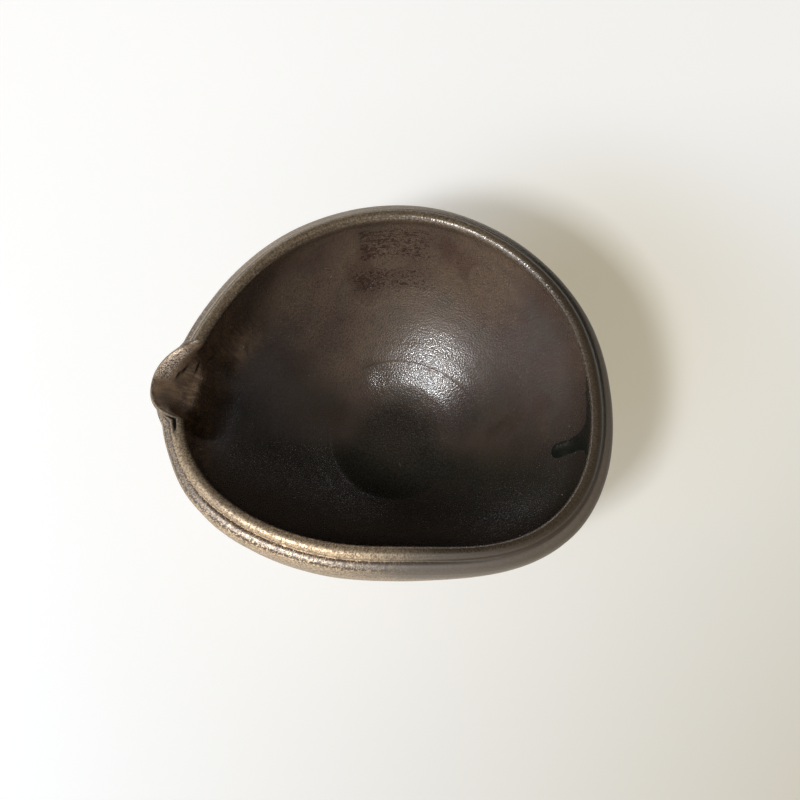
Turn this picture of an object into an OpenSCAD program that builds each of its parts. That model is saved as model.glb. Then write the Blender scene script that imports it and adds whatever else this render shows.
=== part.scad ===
// Katakuchi: a squeezed stoneware bowl with a pulled pouring lip.
// Millimetres. The origin is the centre of the foot on the table, +Z is up and the lip pours towards -X.
// Bearings are degrees about the throwing axis, counter-clockwise from +X seen from above.

/* [Bowl] */
// Height from the table to the crest of the lip
bowl_h = 66; // [55:0.5:85]
// Mean reach of the lip's inner edge from the throwing axis
rim_r = 54.3; // [46:0.1:70]
// Radius of the shallow floor inside
floor_r = 20; // [16:0.5:26]
// Clay thickness of the floor at its edge
floor_t = 4.5; // [4:0.1:9]
// Sag of the middle of the floor below its edge
floor_sag = 1.9; // [0:0.1:2.4]
// Angle on the wall's ellipse at which the wall leaves the floor
heel_a = 37; // [0:1:45]
// Clay thickness of the wall at the belly
wall_t = 4; // [3.5:0.1:6]
// How far the belly's inside stands out past the lip's inner edge
belly_out = 2; // [1:0.1:4]
// Depth of the belly's widest level below the crest of the lip
belly_d = 9; // [8.6:0.1:14]

/* [Squeezed rim] */
// Shift of the rim to one side
shift = 1; // [0:0.1:3]
// Bearing of the shift
shift_b = 116; // [0:1:360]
// Oval squeeze of the rim
oval = 4.2; // [0:0.1:7]
// Bearing of the oval's long axis
oval_b = 177; // [0:1:180]
// Three-cornered squeeze of the rim
three = 2.8; // [0:0.1:4]
// Bearing of a corner of the three-cornered squeeze
three_b = 82.5; // [0:0.5:120]
// Four-cornered squeeze of the rim
four = 0.55; // [0:0.05:2]
// Bearing of a corner of the four-cornered squeeze
four_b = 38; // [0:1:90]
// Five-cornered squeeze of the rim
five = 0.45; // [0:0.05:1.5]
// Bearing of a corner of the five-cornered squeeze
five_b = 38.5; // [0:0.5:72]
// Six-cornered squeeze of the rim
six = 0.4; // [0:0.05:1]
// Bearing of a corner of the six-cornered squeeze
six_b = 17; // [0:1:60]
// Height below which the bowl is still round
round_z = 14; // [10:1:24]
// Height above which the wall has the whole squeeze of the rim
squeezed_z = 44; // [34:1:54]

/* [Lip] */
// Width of the rounded lip
lip_w = 3.7; // [3:0.1:5]
// Rise of the lip's crest above its edges
lip_rise = 1.5; // [1:0.1:2]
// Depth of the groove under the lip, below the crest
groove_d = 3.7; // [3:0.1:4.5]

/* [Rim band] */
// Stand-out of the band from the lip's outer face
band_out = 3.5; // [2.8:0.1:4.5]
// Distance of the band's ridge from the lip's outer face
ridge_out = 0.7; // [0.4:0.1:1.2]
// Rise of the band's ridge above the groove
ridge_rise = 0.2; // [0.1:0.1:0.5]
// Half height of the rounded band
band_rise = 2.7; // [2:0.1:3]
// Clay left in the wall behind the band's ledge
neck_t = 2.6; // [2:0.1:3]

/* [Pouring lip] */
// Bearing of the pouring lip
spout_b = 177.5; // [170:0.5:190]
// Reach of the pouring lip past the rim
spout_reach = 8.3; // [4:0.1:12]
// Width of the pouring lip on the far side of its bearing
spout_far = 10.8; // [8:0.1:16]
// Width of the pouring lip on the near side of its bearing
spout_near = 10.6; // [8:0.1:16]
// Fall of the pouring edge below the crest of the lip
spout_dip = 2; // [0:0.1:4]
// Depth to which the wall is pulled out under the pouring lip
spout_depth = 16; // [12:0.5:24]

/* [Foot ring] */
// Height of the foot ring
foot_h = 7; // [5:0.1:10]
// Outer radius of the foot ring where it meets the body
foot_r = 27.5; // [26:0.1:34]
// Width of the foot ring where it meets the body
foot_w = 7; // [5:0.1:9]
// Taper of each side of the foot ring down to the table
foot_taper = 0.8; // [0:0.1:1.2]
// Chamfer on the edges that meet the table
foot_chamfer = 0.8; // [0.3:0.1:1]
// Height of the clay step above the foot ring
root_h = 2.6; // [1:0.1:4]

/* [Glaze] */
// Thickness of the glass coats
glaze_t = 0.4; // [0.2:0.05:0.6]
// Height of bare clay left above the step over the foot ring
bare_h = 2.5; // [1:0.1:5]
// Bearing of the tongue of the black run inside the lip
run_b = 349.5; // [340:0.5:352]
// Width of the tongue that runs down the wall
tongue_w = 5.2; // [4:0.1:7]
// Length of the tongue, measured down the wall
tongue_len = 34; // [28:0.5:44]
// Length of the run beside the tongue
shoulder_len = 19.5; // [12:0.5:22]
// Length of the run at its two ends
run_end_len = 13; // [3:0.5:18]
// Width of the run on the far side of the tongue
run_far = 12; // [8:0.5:18]
// Width of the run on the near side of the tongue
run_near = 5; // [3:0.5:8]
// Thickness of the run at its thickest
run_t = 0.9; // [0.6:0.1:1.4]

/* [Hidden] */

// Levels and radii that follow from the sizes above
coat_t = wall_t + 2 * glaze_t;
floor_z = foot_h + floor_t + glaze_t;
belly_r = rim_r + belly_out;
belly_z = bowl_h - belly_d;
edge_z = bowl_h - lip_rise;
ridge_r = rim_r + lip_w + ridge_out;
band_r = band_out - ridge_out;
band_z = bowl_h - groove_d + ridge_rise - band_rise;

// Steps along the profile and around the rim
floor_n = 4;
wall_n = 9;
under_n = 3;
band_angles = [90, 55, 20, -10, -40];
lip_angles = [45, 90, 135, 180];
outer_n = 7;
bare_n = 2;
spout_n = 14;
near_n = 3;
tongue_n = 8;
far_n = 6;
run_n = near_n + tongue_n + far_n;
side_n = 20;
run_rows = 10;

function ease(t) = let (u = min(1, max(0, t))) u * u * (3 - 2 * u);
function total(list) = list * [for (x = list) 1];
function unit(v) = v / norm(v);
function degrees(length) = length / rim_r * 180 / PI;

// Plan of the rim: how far the squeezes move it at a bearing
SQUEEZES = [
    [1, shift, shift_b],
    [2, oval, oval_b],
    [3, three, three_b],
    [4, four, four_b],
    [5, five, five_b],
    [6, six, six_b]
];
function squeeze(b) = total([for (s = SQUEEZES) s[1] * cos(s[0] * (b - s[2]))]);
function squeezed(z) = ease((z - round_z) / (squeezed_z - round_z));

// Pouring lip: its pull around the rim, fuller on the near side, and how that pull fades down the wall
spout_from = spout_b - degrees(spout_far);
spout_to = spout_b + degrees(spout_near);
far_power = 2;
near_power = 2.8;
fade_power = 2;
function pull(b) =
    b < spout_b
        ? max(0, 1 - pow((spout_b - b) / (spout_b - spout_from), far_power))
        : max(0, 1 - pow((b - spout_b) / (spout_to - spout_b), near_power));
function fade(d) = pow(max(0, 1 - d / spout_depth), fade_power);

// A point [reach, height] of the mean profile, carried to a bearing
function placed(b, p) =
    let (lift = pull(b) * fade(bowl_h - p[1]))
    let (r = p[0] + squeeze(b) * squeezed(p[1]) + spout_reach * lift)
    [r * cos(b), r * sin(b), p[1] - spout_dip * lift];

// Inside of the bowl as part of an ellipse, and the outside at the wall's thickness from it
wall_a = (belly_r - floor_r) / (1 - sin(heel_a));
wall_b = (belly_z - floor_z) / cos(heel_a);
root_angle = asin(1 - (belly_r - foot_r) / wall_a);
bare_angle = acos(cos(root_angle) - bare_h / wall_b);
function inside(a) = [belly_r - wall_a * (1 - sin(a)), belly_z - wall_b * cos(a)];
function inside_normal(a) = unit([wall_b * sin(a), -wall_a * cos(a)]);
root_t = (inside(root_angle)[1] - foot_h - root_h) / -inside_normal(root_angle)[1];
function thickness(a) = root_t + (coat_t - root_t) * ease((a - root_angle) / (90 - root_angle));
function outside(a) = inside(a) + thickness(a) * inside_normal(a);

// Floor, ever steeper towards its edge, at a share of its radius
sag_power = 3;
function floor_at(u) = [floor_r * u, floor_z - floor_sag * (1 - pow(u, sag_power))];
middle_z = floor_at(0)[1];

// Glazed profile from the floor, up the inside, over the lip and band, and down to the foot
inner_floor = [for (i = [1:floor_n - 1]) floor_at(i / floor_n)];
inner_wall = [for (i = [0:wall_n]) inside(heel_a + (90 - heel_a) * i / wall_n)];
under_lip = [
    for (i = [1:under_n])
        [rim_r + belly_out * (1 - ease(i / under_n)), belly_z + (edge_z - belly_z) * i / under_n]
];
lip_top = [for (a = lip_angles) [rim_r + lip_w / 2 * (1 - cos(a)), edge_z + lip_rise * sin(a)]];
groove = [[rim_r + lip_w, bowl_h - groove_d]];
band = [for (a = band_angles) [ridge_r + band_r * cos(a), band_z + band_rise * sin(a)]];
glazed_wall = [for (i = [0:outer_n]) outside(90 - (90 - bare_angle) * i / outer_n)];
bare_wall = [for (i = [1:bare_n]) outside(bare_angle - (bare_angle - root_angle) * i / bare_n)];
surface = concat(inner_floor, inner_wall, under_lip, lip_top, groove, band, glazed_wall, bare_wall);

// Places along that profile
at_belly = len(inner_floor) + wall_n;
at_edge = at_belly + under_n;
at_crest = at_edge + 2;
at_groove = at_edge + len(lip_angles) + 1;
at_band_end = at_groove + len(band_angles);
at_glaze_end = at_band_end + outer_n + 1;
at_root = len(surface) - 1;

// Clay under the glaze: the same profile, one coat further in
function inward(k) =
    let (before = k > 0 ? surface[k - 1] : floor_at(0))
    let (t = unit(surface[min(k + 1, at_root)] - before))
    [t[1], -t[0]];
clay = [for (k = [0:at_root]) surface[k] + glaze_t * inward(k)];
ledge = [rim_r + belly_out + glaze_t + neck_t, clay[at_band_end][1]];

// Bearings of the sections: close together at the pouring lip and at the run
tongue_from = run_b - degrees(tongue_w) / 2;
tongue_to = run_b + degrees(tongue_w) / 2;
run_from = tongue_from - degrees(run_near);
run_to = tongue_to + degrees(run_far);
function steps(from, to, n) = [for (i = [0:n - 1]) from + (to - from) * i / n];
bearings = concat(
    steps(spout_from, spout_to, spout_n),
    steps(spout_to, run_from, side_n),
    steps(run_from, tongue_from, near_n),
    steps(tongue_from, tongue_to, tongue_n),
    steps(tongue_to, run_to, far_n),
    steps(run_to, spout_from + 360, side_n)
);
run_first = spout_n + side_n;

function part_of(list, from, to) = [for (k = [from:to]) list[k]];
function reversed(list) = [for (k = [len(list) - 1:-1:0]) list[k]];
function joined(lists) = [for (list = lists) each list];
function section(b, profile) = [for (p = profile) placed(b, p)];

// Two triangles for one patch between neighbouring sections. Mating faces of two pieces are cut
// along the same diagonal, so a face that runs back along the profile takes the other split.
function patch(a, b, c, d, back) = back ? [[a, d, b], [b, d, c]] : [[a, c, b], [a, d, c]];

// A ring whose section is a closed loop. The loop runs forward along the profile up to point turn.
module ring(profile, turn) {
    n = len(bearings);
    m = len(profile);
    polyhedron(
        points = joined([for (b = bearings) section(b, profile)]),
        faces = joined([
            for (i = [0:n - 1])
                for (j = [0:m - 1])
                    let (i2 = (i + 1) % n, j2 = (j + 1) % m)
                    patch(i * m + j, i * m + j2, i2 * m + j2, i2 * m + j, j >= turn)
        ])
    );
}

// Triangles that close the first and last rows of a dish on the throwing axis
function dish_caps(n, m) = joined([
    for (i = [0:n - 1])
        let (i2 = (i + 1) % n)
        [[n * m, i2 * m, i * m], [n * m + 1, i * m + m - 1, i2 * m + m - 1]]
]);

// Throwing axis points at two heights
function axis_points(first_z, last_z) = [[0, 0, first_z], [0, 0, last_z]];

// Thrown floor and wall, with the ledge for the band and the notch for the pouring lip
module bowl_body() {
    profile = concat(part_of(clay, 0, at_groove), [ledge], part_of(clay, at_band_end, at_root), [[foot_r, foot_h]]);
    n = len(bearings);
    m = len(profile);
    at_ledge = at_groove + 1;
    function in_notch(i, j) = i < spout_n && j >= at_belly && j < at_ledge;
    walls = joined([
        for (i = [0:n - 1])
            for (j = [0:m - 2])
                let (i2 = (i + 1) % n)
                if (!in_notch(i, j)) patch(i * m + j, i * m + j + 1, i2 * m + j + 1, i2 * m + j, false)
    ]);
    seat = joined([
        for (i = [0:spout_n - 1])
            patch(i * m + at_belly, i * m + at_ledge, (i + 1) * m + at_ledge, (i + 1) * m + at_belly, false)
    ]);
    notch_ends = [
        [for (j = [at_ledge:-1:at_belly]) j],
        [for (j = [at_belly:at_ledge]) spout_n * m + j]
    ];
    color("#5a4537")
        polyhedron(
            points = concat(
                joined([for (b = bearings) section(b, profile)]),
                axis_points(middle_z - glaze_t, foot_h)
            ),
            faces = concat(walls, seat, notch_ends, dish_caps(n, m))
        );
}

// Ring that the bowl stands on
module foot_ring() {
    inner_r = foot_r - foot_w;
    color("#6b5443")
        rotate_extrude($fn = 96)
            polygon([
                [inner_r, foot_h],
                [inner_r + foot_taper, foot_chamfer],
                [inner_r + foot_taper + foot_chamfer, 0],
                [foot_r - foot_taper - foot_chamfer, 0],
                [foot_r - foot_taper, foot_chamfer],
                [foot_r, foot_h]
            ]);
}

// Rounded band on the ledge below the lip
module rim_band() {
    color("#5f4a3a")
        ring(concat(part_of(clay, at_groove, at_band_end), [ledge]), at_band_end - at_groove);
}

// Stretch of lip that fills the notch and is pulled out to pour
module pouring_lip() {
    profile = concat(part_of(clay, at_belly, at_groove), [ledge]);
    m = len(profile);
    sides = joined([
        for (i = [0:spout_n - 1])
            for (j = [0:m - 1])
                let (j2 = (j + 1) % m)
                patch(i * m + j, i * m + j2, (i + 1) * m + j2, (i + 1) * m + j, j == m - 1)
    ]);
    ends = [[for (j = [0:m - 1]) j], [for (j = [m - 1:-1:0]) spout_n * m + j]];
    color("#6a523f")
        polyhedron(
            points = joined([for (i = [0:spout_n]) section(bearings[i], profile)]),
            faces = concat(sides, ends)
        );
}

// Satin coat inside, up to the crest of the lip
module inner_glaze() {
    profile = concat(part_of(surface, 0, at_crest), reversed(part_of(clay, 0, at_crest)));
    n = len(bearings);
    m = len(profile);
    color("#3b302c")
        polyhedron(
            points = concat(
                joined([for (b = bearings) section(b, profile)]),
                axis_points(middle_z, middle_z - glaze_t)
            ),
            faces = concat(
                joined([
                    for (i = [0:n - 1])
                        for (j = [0:m - 2])
                            let (i2 = (i + 1) % n)
                            patch(i * m + j, i * m + j + 1, i2 * m + j + 1, i2 * m + j, j >= at_crest)
                ]),
                dish_caps(n, m)
            )
        );
}

// Bronze coat outside, from the crest of the lip to the glaze line
module outer_glaze() {
    color("#7d6750")
        ring(
            concat(
                [clay[at_crest]],
                part_of(surface, at_crest, at_glaze_end),
                reversed(part_of(clay, at_crest + 1, at_glaze_end))
            ),
            at_glaze_end - at_crest + 1
        );
}

// Point on the inside at a length down the wall from the lip's edge, lifted off it
inside_steps = [for (k = [at_edge:-1:1]) norm(surface[k] - surface[k - 1])];
function down_wall(b, length, lift, k = at_edge) =
    let (step = inside_steps[at_edge - k])
    length > step && k > 1
        ? down_wall(b, length - step, lift, k - 1)
        : let (u = length / step)
          let (foot = placed(b, surface[k]) * (1 - u) + placed(b, surface[k - 1]) * u)
          let (n = inward(k) * (1 - u) + inward(k - 1) * u)
          foot - lift * [n[0] * cos(b), n[0] * sin(b), n[1]];

// Black run: a curtain under the lip with one round-ended tongue down the wall
edge_lift = 0.3;
bead_power = 0.6;
function beside(b) = b < run_b ? (tongue_from - b) / (tongue_from - run_from) : (b - tongue_to) / (run_to - tongue_to);
function across(b) = 2 * (b - run_b) / (tongue_to - tongue_from);
function run_length(b) =
    beside(b) > 0
        ? run_end_len + (shoulder_len - run_end_len) * pow(1 - beside(b), 2)
        : shoulder_len + (tongue_len - shoulder_len) * sqrt(max(0, 1 - pow(across(b), 2)));
function run_lift(i, j) =
    run_t * (edge_lift + (1 - edge_lift) * sin(180 * i / run_n) * sin(180 * pow(j / run_rows, bead_power)));
module glaze_run() {
    m = 2 * (run_rows + 1);
    points = joined([
        for (i = [0:run_n])
            let (b = bearings[run_first + i], end = run_length(b))
            concat(
                [for (j = [0:run_rows]) down_wall(b, end * (1 - j / run_rows), run_lift(i, j))],
                [for (j = [run_rows:-1:0]) down_wall(b, end * (1 - j / run_rows), 0)]
            )
    ]);
    sides = joined([
        for (i = [0:run_n - 1])
            for (j = [0:m - 1])
                let (j2 = (j + 1) % m)
                patch(i * m + j, i * m + j2, (i + 1) * m + j2, (i + 1) * m + j, j >= run_rows)
    ]);
    function end_strip(first) = joined([
        for (j = [0:run_rows - 1])
            let (top = first + j, under = first + m - 1 - j)
            [[top, top + 1, under - 1], [top, under - 1, under]]
    ]);
    ends = concat(end_strip(0), [for (face = end_strip(run_n * m)) reversed(face)]);
    color("#121212")
        polyhedron(points = points, faces = concat(sides, ends));
}

bowl_body();
foot_ring();
rim_band();
pouring_lip();
inner_glaze();
outer_glaze();
glaze_run();
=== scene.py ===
"""Dresses a squeezed stoneware pouring bowl: clay, glaze coats, a run of glaze and the studio."""

import math
from functools import partialmethod

import bpy
import numpy as np
from bpy.props import FloatProperty, FloatVectorProperty, IntProperty, PointerProperty
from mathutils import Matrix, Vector, noise


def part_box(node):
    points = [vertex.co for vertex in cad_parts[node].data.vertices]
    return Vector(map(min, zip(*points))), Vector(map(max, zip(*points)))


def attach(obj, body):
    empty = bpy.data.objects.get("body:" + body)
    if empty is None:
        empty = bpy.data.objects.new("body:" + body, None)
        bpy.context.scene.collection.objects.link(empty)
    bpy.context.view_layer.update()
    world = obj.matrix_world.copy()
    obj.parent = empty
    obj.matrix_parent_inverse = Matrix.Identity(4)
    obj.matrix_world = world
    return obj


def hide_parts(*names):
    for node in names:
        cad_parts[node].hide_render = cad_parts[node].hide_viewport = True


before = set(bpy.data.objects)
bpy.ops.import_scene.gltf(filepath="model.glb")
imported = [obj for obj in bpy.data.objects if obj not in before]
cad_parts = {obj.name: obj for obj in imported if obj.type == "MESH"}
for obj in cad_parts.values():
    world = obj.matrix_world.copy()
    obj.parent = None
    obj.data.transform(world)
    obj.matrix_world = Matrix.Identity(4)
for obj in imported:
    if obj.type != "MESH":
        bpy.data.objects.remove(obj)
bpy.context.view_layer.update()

bl_info = {
    "name": "Katakuchi pouring bowl",
    "version": (1, 0, 0),
    "blender": (4, 5, 0),
    "location": "View3D > Sidebar > Katakuchi",
    "description": "Dresses a squeezed pouring bowl in its clay, glazes and studio light",
    "category": "Object",
}

MM = 0.001
BODY = "root"
RIM_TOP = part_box("outer_glaze")[1].z
COAT_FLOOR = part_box("inner_glaze")[0].z
FOOT_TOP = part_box("foot_ring")[1].z
FOOT_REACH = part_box("foot_ring")[1].x


# Settings

def length(name, description, millimetres):
    """A length that is given in millimetres and kept in metres."""
    return FloatProperty(
        name=name, description=description, default=millimetres * MM, unit="LENGTH", precision=5
    )


def bearing(name, description, degrees):
    """An angle that is given in degrees and kept in radians."""
    return FloatProperty(
        name=name, description=description, default=math.radians(degrees), subtype="ANGLE"
    )


def number(name, description, value):
    """A plain number."""
    return FloatProperty(name=name, description=description, default=value)


def point(name, description, millimetres):
    """A place that is given in millimetres and kept in metres."""
    place = tuple(value * MM for value in millimetres)
    return FloatVectorProperty(
        name=name, description=description, default=place, subtype="TRANSLATION", precision=5
    )


def colour(name, description, rgb):
    """A linear colour."""
    return FloatVectorProperty(
        name=name, description=description, default=rgb, subtype="COLOR", size=3, min=0, max=1
    )


class BowlSizes(bpy.types.PropertyGroup):
    """The thrown bowl before its rim is squeezed."""

    height: length("Height", "From the table to the crest of the lip", RIM_TOP / MM)
    rim_reach: length("Rim reach", "Mean reach of the lip's inner edge", 54.3)
    floor_reach: length("Floor reach", "Reach of the shallow floor inside", 20)
    floor_sag: length("Floor sag", "How far the middle of the floor lies below its edge", 1.9)
    floor_softness: length("Floor softness", "How far the corner round the floor is rounded off", 1.2)
    heel: bearing("Heel", "Angle on the wall's ellipse at which the wall leaves the floor", 37)
    coat: length("Glaze", "Thickness of a glaze coat", 0.4)
    wall: length("Wall", "Thickness of the clay wall at the belly", 4)
    belly_out: length("Belly", "How far the belly stands out past the lip's inner edge", 2)
    belly_depth: length("Belly depth", "From the crest of the lip down to the belly", 9)


class SqueezeSizes(bpy.types.PropertyGroup):
    """How the thrown circle is pressed out of round, as waves around the rim."""

    amounts: FloatVectorProperty(
        name="Waves",
        description="Reach of the waves with one to six crests",
        default=(1 * MM, 4.2 * MM, 2.8 * MM, 0.55 * MM, 0.45 * MM, 0.4 * MM),
        size=6,
        unit="LENGTH",
        precision=5,
    )
    bearings: FloatVectorProperty(
        name="Bearings",
        description="Bearing of a crest of each wave",
        default=tuple(math.radians(b) for b in (116, 177, 82.5, 38, 38.5, 17)),
        size=6,
        unit="ROTATION",
    )
    round_height: length("Round height", "Height up to which the bowl is still round", 14)
    squeezed_height: length("Squeezed height", "Height from which it is fully squeezed", 44)


class RimSizes(bpy.types.PropertyGroup):
    """The lip and the rounded band below it."""

    lip_width: length("Lip width", "Width of the rounded lip", 3.7)
    lip_rise: length("Lip rise", "Height of the lip's round top", 1.5)
    groove_depth: length("Groove depth", "From the crest down to the groove above the band", 3.7)
    band_out: length("Band", "How far the band stands out past the lip", 3.5)
    ridge_out: length("Ridge", "How far the band's ridge lies past the groove", 0.7)
    ridge_rise: length("Ridge rise", "Height of the band's ridge over the groove", 0.2)
    band_rise: length("Band rise", "From the band's widest line up to its ridge", 2.7)
    band_turn: bearing("Band turn", "How far the band's round goes on below its widest line", 40)
    neck: length("Neck", "Thickness of the clay behind the band", 2.6)
    softness: length("Softness", "How far the glaze rounds off the grooves", 0.42)
    filling: length("Filling", "How far thick glaze rounds off the groove where it fills it", 1.2)


class SpoutSizes(bpy.types.PropertyGroup):
    """The pulled pouring lip."""

    bearing: bearing("Bearing", "Bearing of the tip", 177.5)
    reach: length("Reach", "How far the tip is pulled out", 8.3)
    far_width: length("Far width", "From the tip along the rim to the far root", 10.8)
    near_width: length("Near width", "From the tip along the rim to the near root", 10.6)
    dip: length("Dip", "How far the tip drops", 2)
    depth: length("Depth", "How far down the wall the pull is felt", 11)
    far_power: number("Far flank", "Fullness of the far flank", 2)
    near_power: number("Near flank", "Fullness of the near flank", 2.8)
    fade_power: number("Fade", "How soon the pull fades down the wall", 2)


class FootSizes(bpy.types.PropertyGroup):
    """The foot ring and the bare clay above it."""

    height: length("Height", "Height of the ring", FOOT_TOP / MM)
    reach: length("Reach", "Reach of the ring where it joins the bowl", FOOT_REACH / MM)
    width: length("Width", "Width of the ring", 7)
    taper: length("Taper", "How far each side leans in towards the table", 0.8)
    chamfer: length("Chamfer", "Bevel at the resting face", 0.8)
    root: length("Root", "Height of the wall's root over the ring", 2.6)
    bare: length("Bare", "Height of the bare clay below the glaze line", 2.5)


class RunSizes(bpy.types.PropertyGroup):
    """The black run of glaze inside the lip."""

    bearing: bearing("Bearing", "Bearing of the tongue where it leaves the curtain", 349.8)
    lean: number("Lean", "How far the tongue drifts sideways as it runs down", -0.12)
    tongue_length: length("Tongue", "From the lip's edge down to the tongue's end", 34)
    tongue_width: length("Tongue width", "Width of the tongue's drop", 5)
    shoulder: length("Shoulder", "Depth of the curtain beside the tongue", 20)
    edge: length("Edge", "Depth of the curtain where it ends", 14)
    far_width: length("Far width", "Width of the curtain on the far side", 13)
    near_width: length("Near width", "Width of the curtain on the near side", 12.5)
    thickness: length("Thickness", "Height of the drop at the tongue's end", 1.1)


class HandMarks(bpy.types.PropertyGroup):
    """Small marks of the hand, the wheel and the fire."""

    unevenness: length("Unevenness", "Height of the slow swells of the surface", 0.1)
    ring_height: length("Throwing rings", "Height of the rings inside", 0.009)
    ring_pitch: length("Ring pitch", "Distance between the rings", 4.2)
    groove_depth: length("Floor groove", "Depth of the spiral groove round the floor", 0.12)
    hem_wave: length("Hem wave", "How far the glaze line wanders up and down", 1.1)
    hem_roll: length("Hem roll", "Height of the rolled edge of the glaze", 0.25)
    beads: IntProperty(name="Beads", description="Number of burst bubbles and grains", default=32)
    seed: IntProperty(name="Seed", description="Seed of the scattered beads", default=4)


class GlazeColours(bpy.types.PropertyGroup):
    """Colours of the glazes and the clay."""

    umber: colour("Umber", "Warm brown of the inside", (0.160, 0.107, 0.072))
    plum: colour("Plum", "Cooler, darker brown of the inside", (0.098, 0.063, 0.050))
    # Partly painted shade: the floor is painted darker for the rim's shadow, besides the glaze pooled there.
    pooled_floor_and_shade: colour("Well", "Dark glaze pooled on the floor", (0.027, 0.0195, 0.0125))
    dusk: colour("Dusk", "Dark grain of the inside", (0.030, 0.022, 0.017))
    rust: colour("Rust", "Iron red in the pits of the inside", (0.036, 0.014, 0.009))
    bronze: colour("Bronze", "Bronze of the lip and the wall", (0.50, 0.36, 0.225))
    gold: colour("Gold", "Bright grains in the bronze", (0.78, 0.61, 0.40))
    # Partly a painted highlight on the lit side of the spout's far flank.
    blush_and_highlight: colour("Blush", "Rosy gold grains on the spout's far flank", (0.86, 0.67, 0.52))
    mauve: colour("Mauve", "Cool lustre of the band", (0.38, 0.31, 0.265))
    lichen: colour("Lichen", "Grey green clouds of the inside", (0.080, 0.070, 0.052))
    russet_wall: colour("Russet wall", "Red brown clouds of the inside", (0.085, 0.045, 0.030))
    # Partly painted shade: the rim's dull brown, darker where the rim faces away from the window; it also
    # streaks the spout's inside.
    peat_and_shade: colour("Peat", "Dull brown of the rim away from the window", (0.042, 0.028, 0.016))
    # Painted reflection: the band painted pale, mostly along the far side, for the pale wall that it
    # reflects.
    bark_and_reflection: colour("Bark", "Dull grey brown of the band away from the window", (0.40, 0.325, 0.245))
    # Painted light: the brown of the spout's inside, painted lighter where the window lights it, and used on
    # the wall below the spout.
    trough_painted_light: colour("Trough", "Brown of the spout's inside", (0.35, 0.218, 0.128))
    # Partly painted shade: a stripe on the lip's inner side; also drawn streaks in the spout.
    russet_and_shade: colour("Russet", "Brown bronze in the grooves", (0.25, 0.175, 0.125))
    shade: colour("Shade", "Dark glaze between the bronze grains", (0.085, 0.058, 0.042))
    # Painted shade: the inside towards the near left, which faces away from the window, painted olive black.
    painted_shade_olive: colour("Moss", "Olive black of the inside towards the near left", (0.0145, 0.0140, 0.0090))
    # Partly a painted reflection: the dark glossy patch by the spout's tip.
    pool: colour("Pool", "Thick dark glaze by the spout", (0.017, 0.022, 0.023))
    # Painted shade: black in the slits and in the pocket at the spout's near root.
    slit: colour("Slit", "Black inside the slits of the spout", (0.008, 0.006, 0.005))
    black: colour("Black", "Gloss black of the run", (0.010, 0.012, 0.009))
    warm_black: colour("Warm black", "Brown black clouds of the run", (0.018, 0.017, 0.012))
    clay: colour("Clay", "Bare fired clay", (0.20, 0.135, 0.095))
    toast: colour("Toast", "Bare clay that the fire darkened", (0.13, 0.085, 0.06))
    grit: colour("Grit", "Dark grains of the clay", (0.07, 0.045, 0.033))
    sand: colour("Sand", "Pale grains of the clay", (0.42, 0.33, 0.25))
    dull_bead: colour("Dull bead", "Dull grains on the glaze", (0.20, 0.16, 0.13))
    pale_bead: colour("Pale bead", "Pale grains on the glaze", (0.50, 0.44, 0.37))


class StudioSizes(bpy.types.PropertyGroup):
    """The camera, the soft light and the table."""

    lens: FloatProperty(name="Lens", description="Focal length", default=58.5, subtype="DISTANCE_CAMERA")
    elevation: bearing("Elevation", "Height of the view over the table", 72)
    distance: length("Distance", "From the camera to the point it looks at", 372.2)
    target: point("Target", "Point that the camera looks at", (1.63, -4.19, 66))
    light_bearing: bearing("Light bearing", "Bearing of the near window", 229)
    light_elevation: bearing("Light elevation", "Height of the near window over the table", 54.3)
    light_distance: length("Light distance", "From the bowl to the near window", 2500)
    light_width: length("Light width", "Side of the near window", 380)
    light_power: number("Light power", "Power of the near window in watts", 46)
    light_colour: colour("Light colour", "Colour of the light from the near window", (0.94, 0.97, 1.0))
    sky_bearing: bearing("Sky bearing", "Bearing of the wide windows", 232)
    sky_spread: bearing("Sky spread", "How far the wide windows reach to each side", 62)
    sky_top: bearing("Sky top", "Height over the table at which the wide windows end", 50)
    sky: number("Sky", "Strength of the light from the wide windows", 2.4)
    wall_bearing: bearing("Wall bearing", "Bearing of the pale wall behind the table", 130)
    wall_spread: bearing("Wall spread", "How far the pale wall reaches to each side", 75)
    wall_top: bearing("Wall top", "Height over the table at which the pale wall ends", 14)
    wall: number("Wall", "Strength of the light from the pale wall", 2.8)
    door_bearing: bearing("Door bearing", "Bearing of the dim side of the room", 350)
    door_spread: bearing("Door spread", "How far the dim side reaches to each side", 85)
    door_top: bearing("Door top", "Height over the table at which the dim side ends", 75)
    door: number("Door", "Strength of the light from the dim side", 0.11)
    room: number("Room light", "Strength of the light from all round", 0.018)
    daylight: colour("Daylight", "Colour of the light from the windows and the pale wall", (1.0, 0.975, 0.94))
    lamplight: colour("Lamplight", "Colour of the dim light from the room", (1.0, 0.90, 0.70))
    table: colour("Table", "Colour of the pale table", (0.54, 0.537, 0.527))
    # Painted light on the table: paleness that fades towards the near right, and a warm fill painted into the
    # bowl's shadow
    painted_light_near_left: colour("Near left", "Paleness added to the table at the near left", (0.56, 0.572, 0.595))
    painted_light_near_right: colour("Near right", "Paleness added to the table at the near right", (0.161, 0.118, 0.024))
    painted_light_far_left: colour("Far left", "Paleness added to the table at the far left", (0.581, 0.575, 0.565))
    painted_light_far_right: colour("Far right", "Paleness added to the table at the far right", (0.525, 0.513, 0.490))
    painted_shadow_fill: colour("In shadow", "Paleness added where the bowl's shadow falls", (0.378, 0.337, 0.245))
    shadow_middle: point("Shadow middle", "Middle of the bowl's shadow on the table", (72, 42, 0))
    shadow_reach: length("Shadow reach", "How far the shadow's tint reaches from its middle", 95)
    glow_reach: length("Glow reach", "Distance of those four places from the middle, along each axis", 140)


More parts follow.
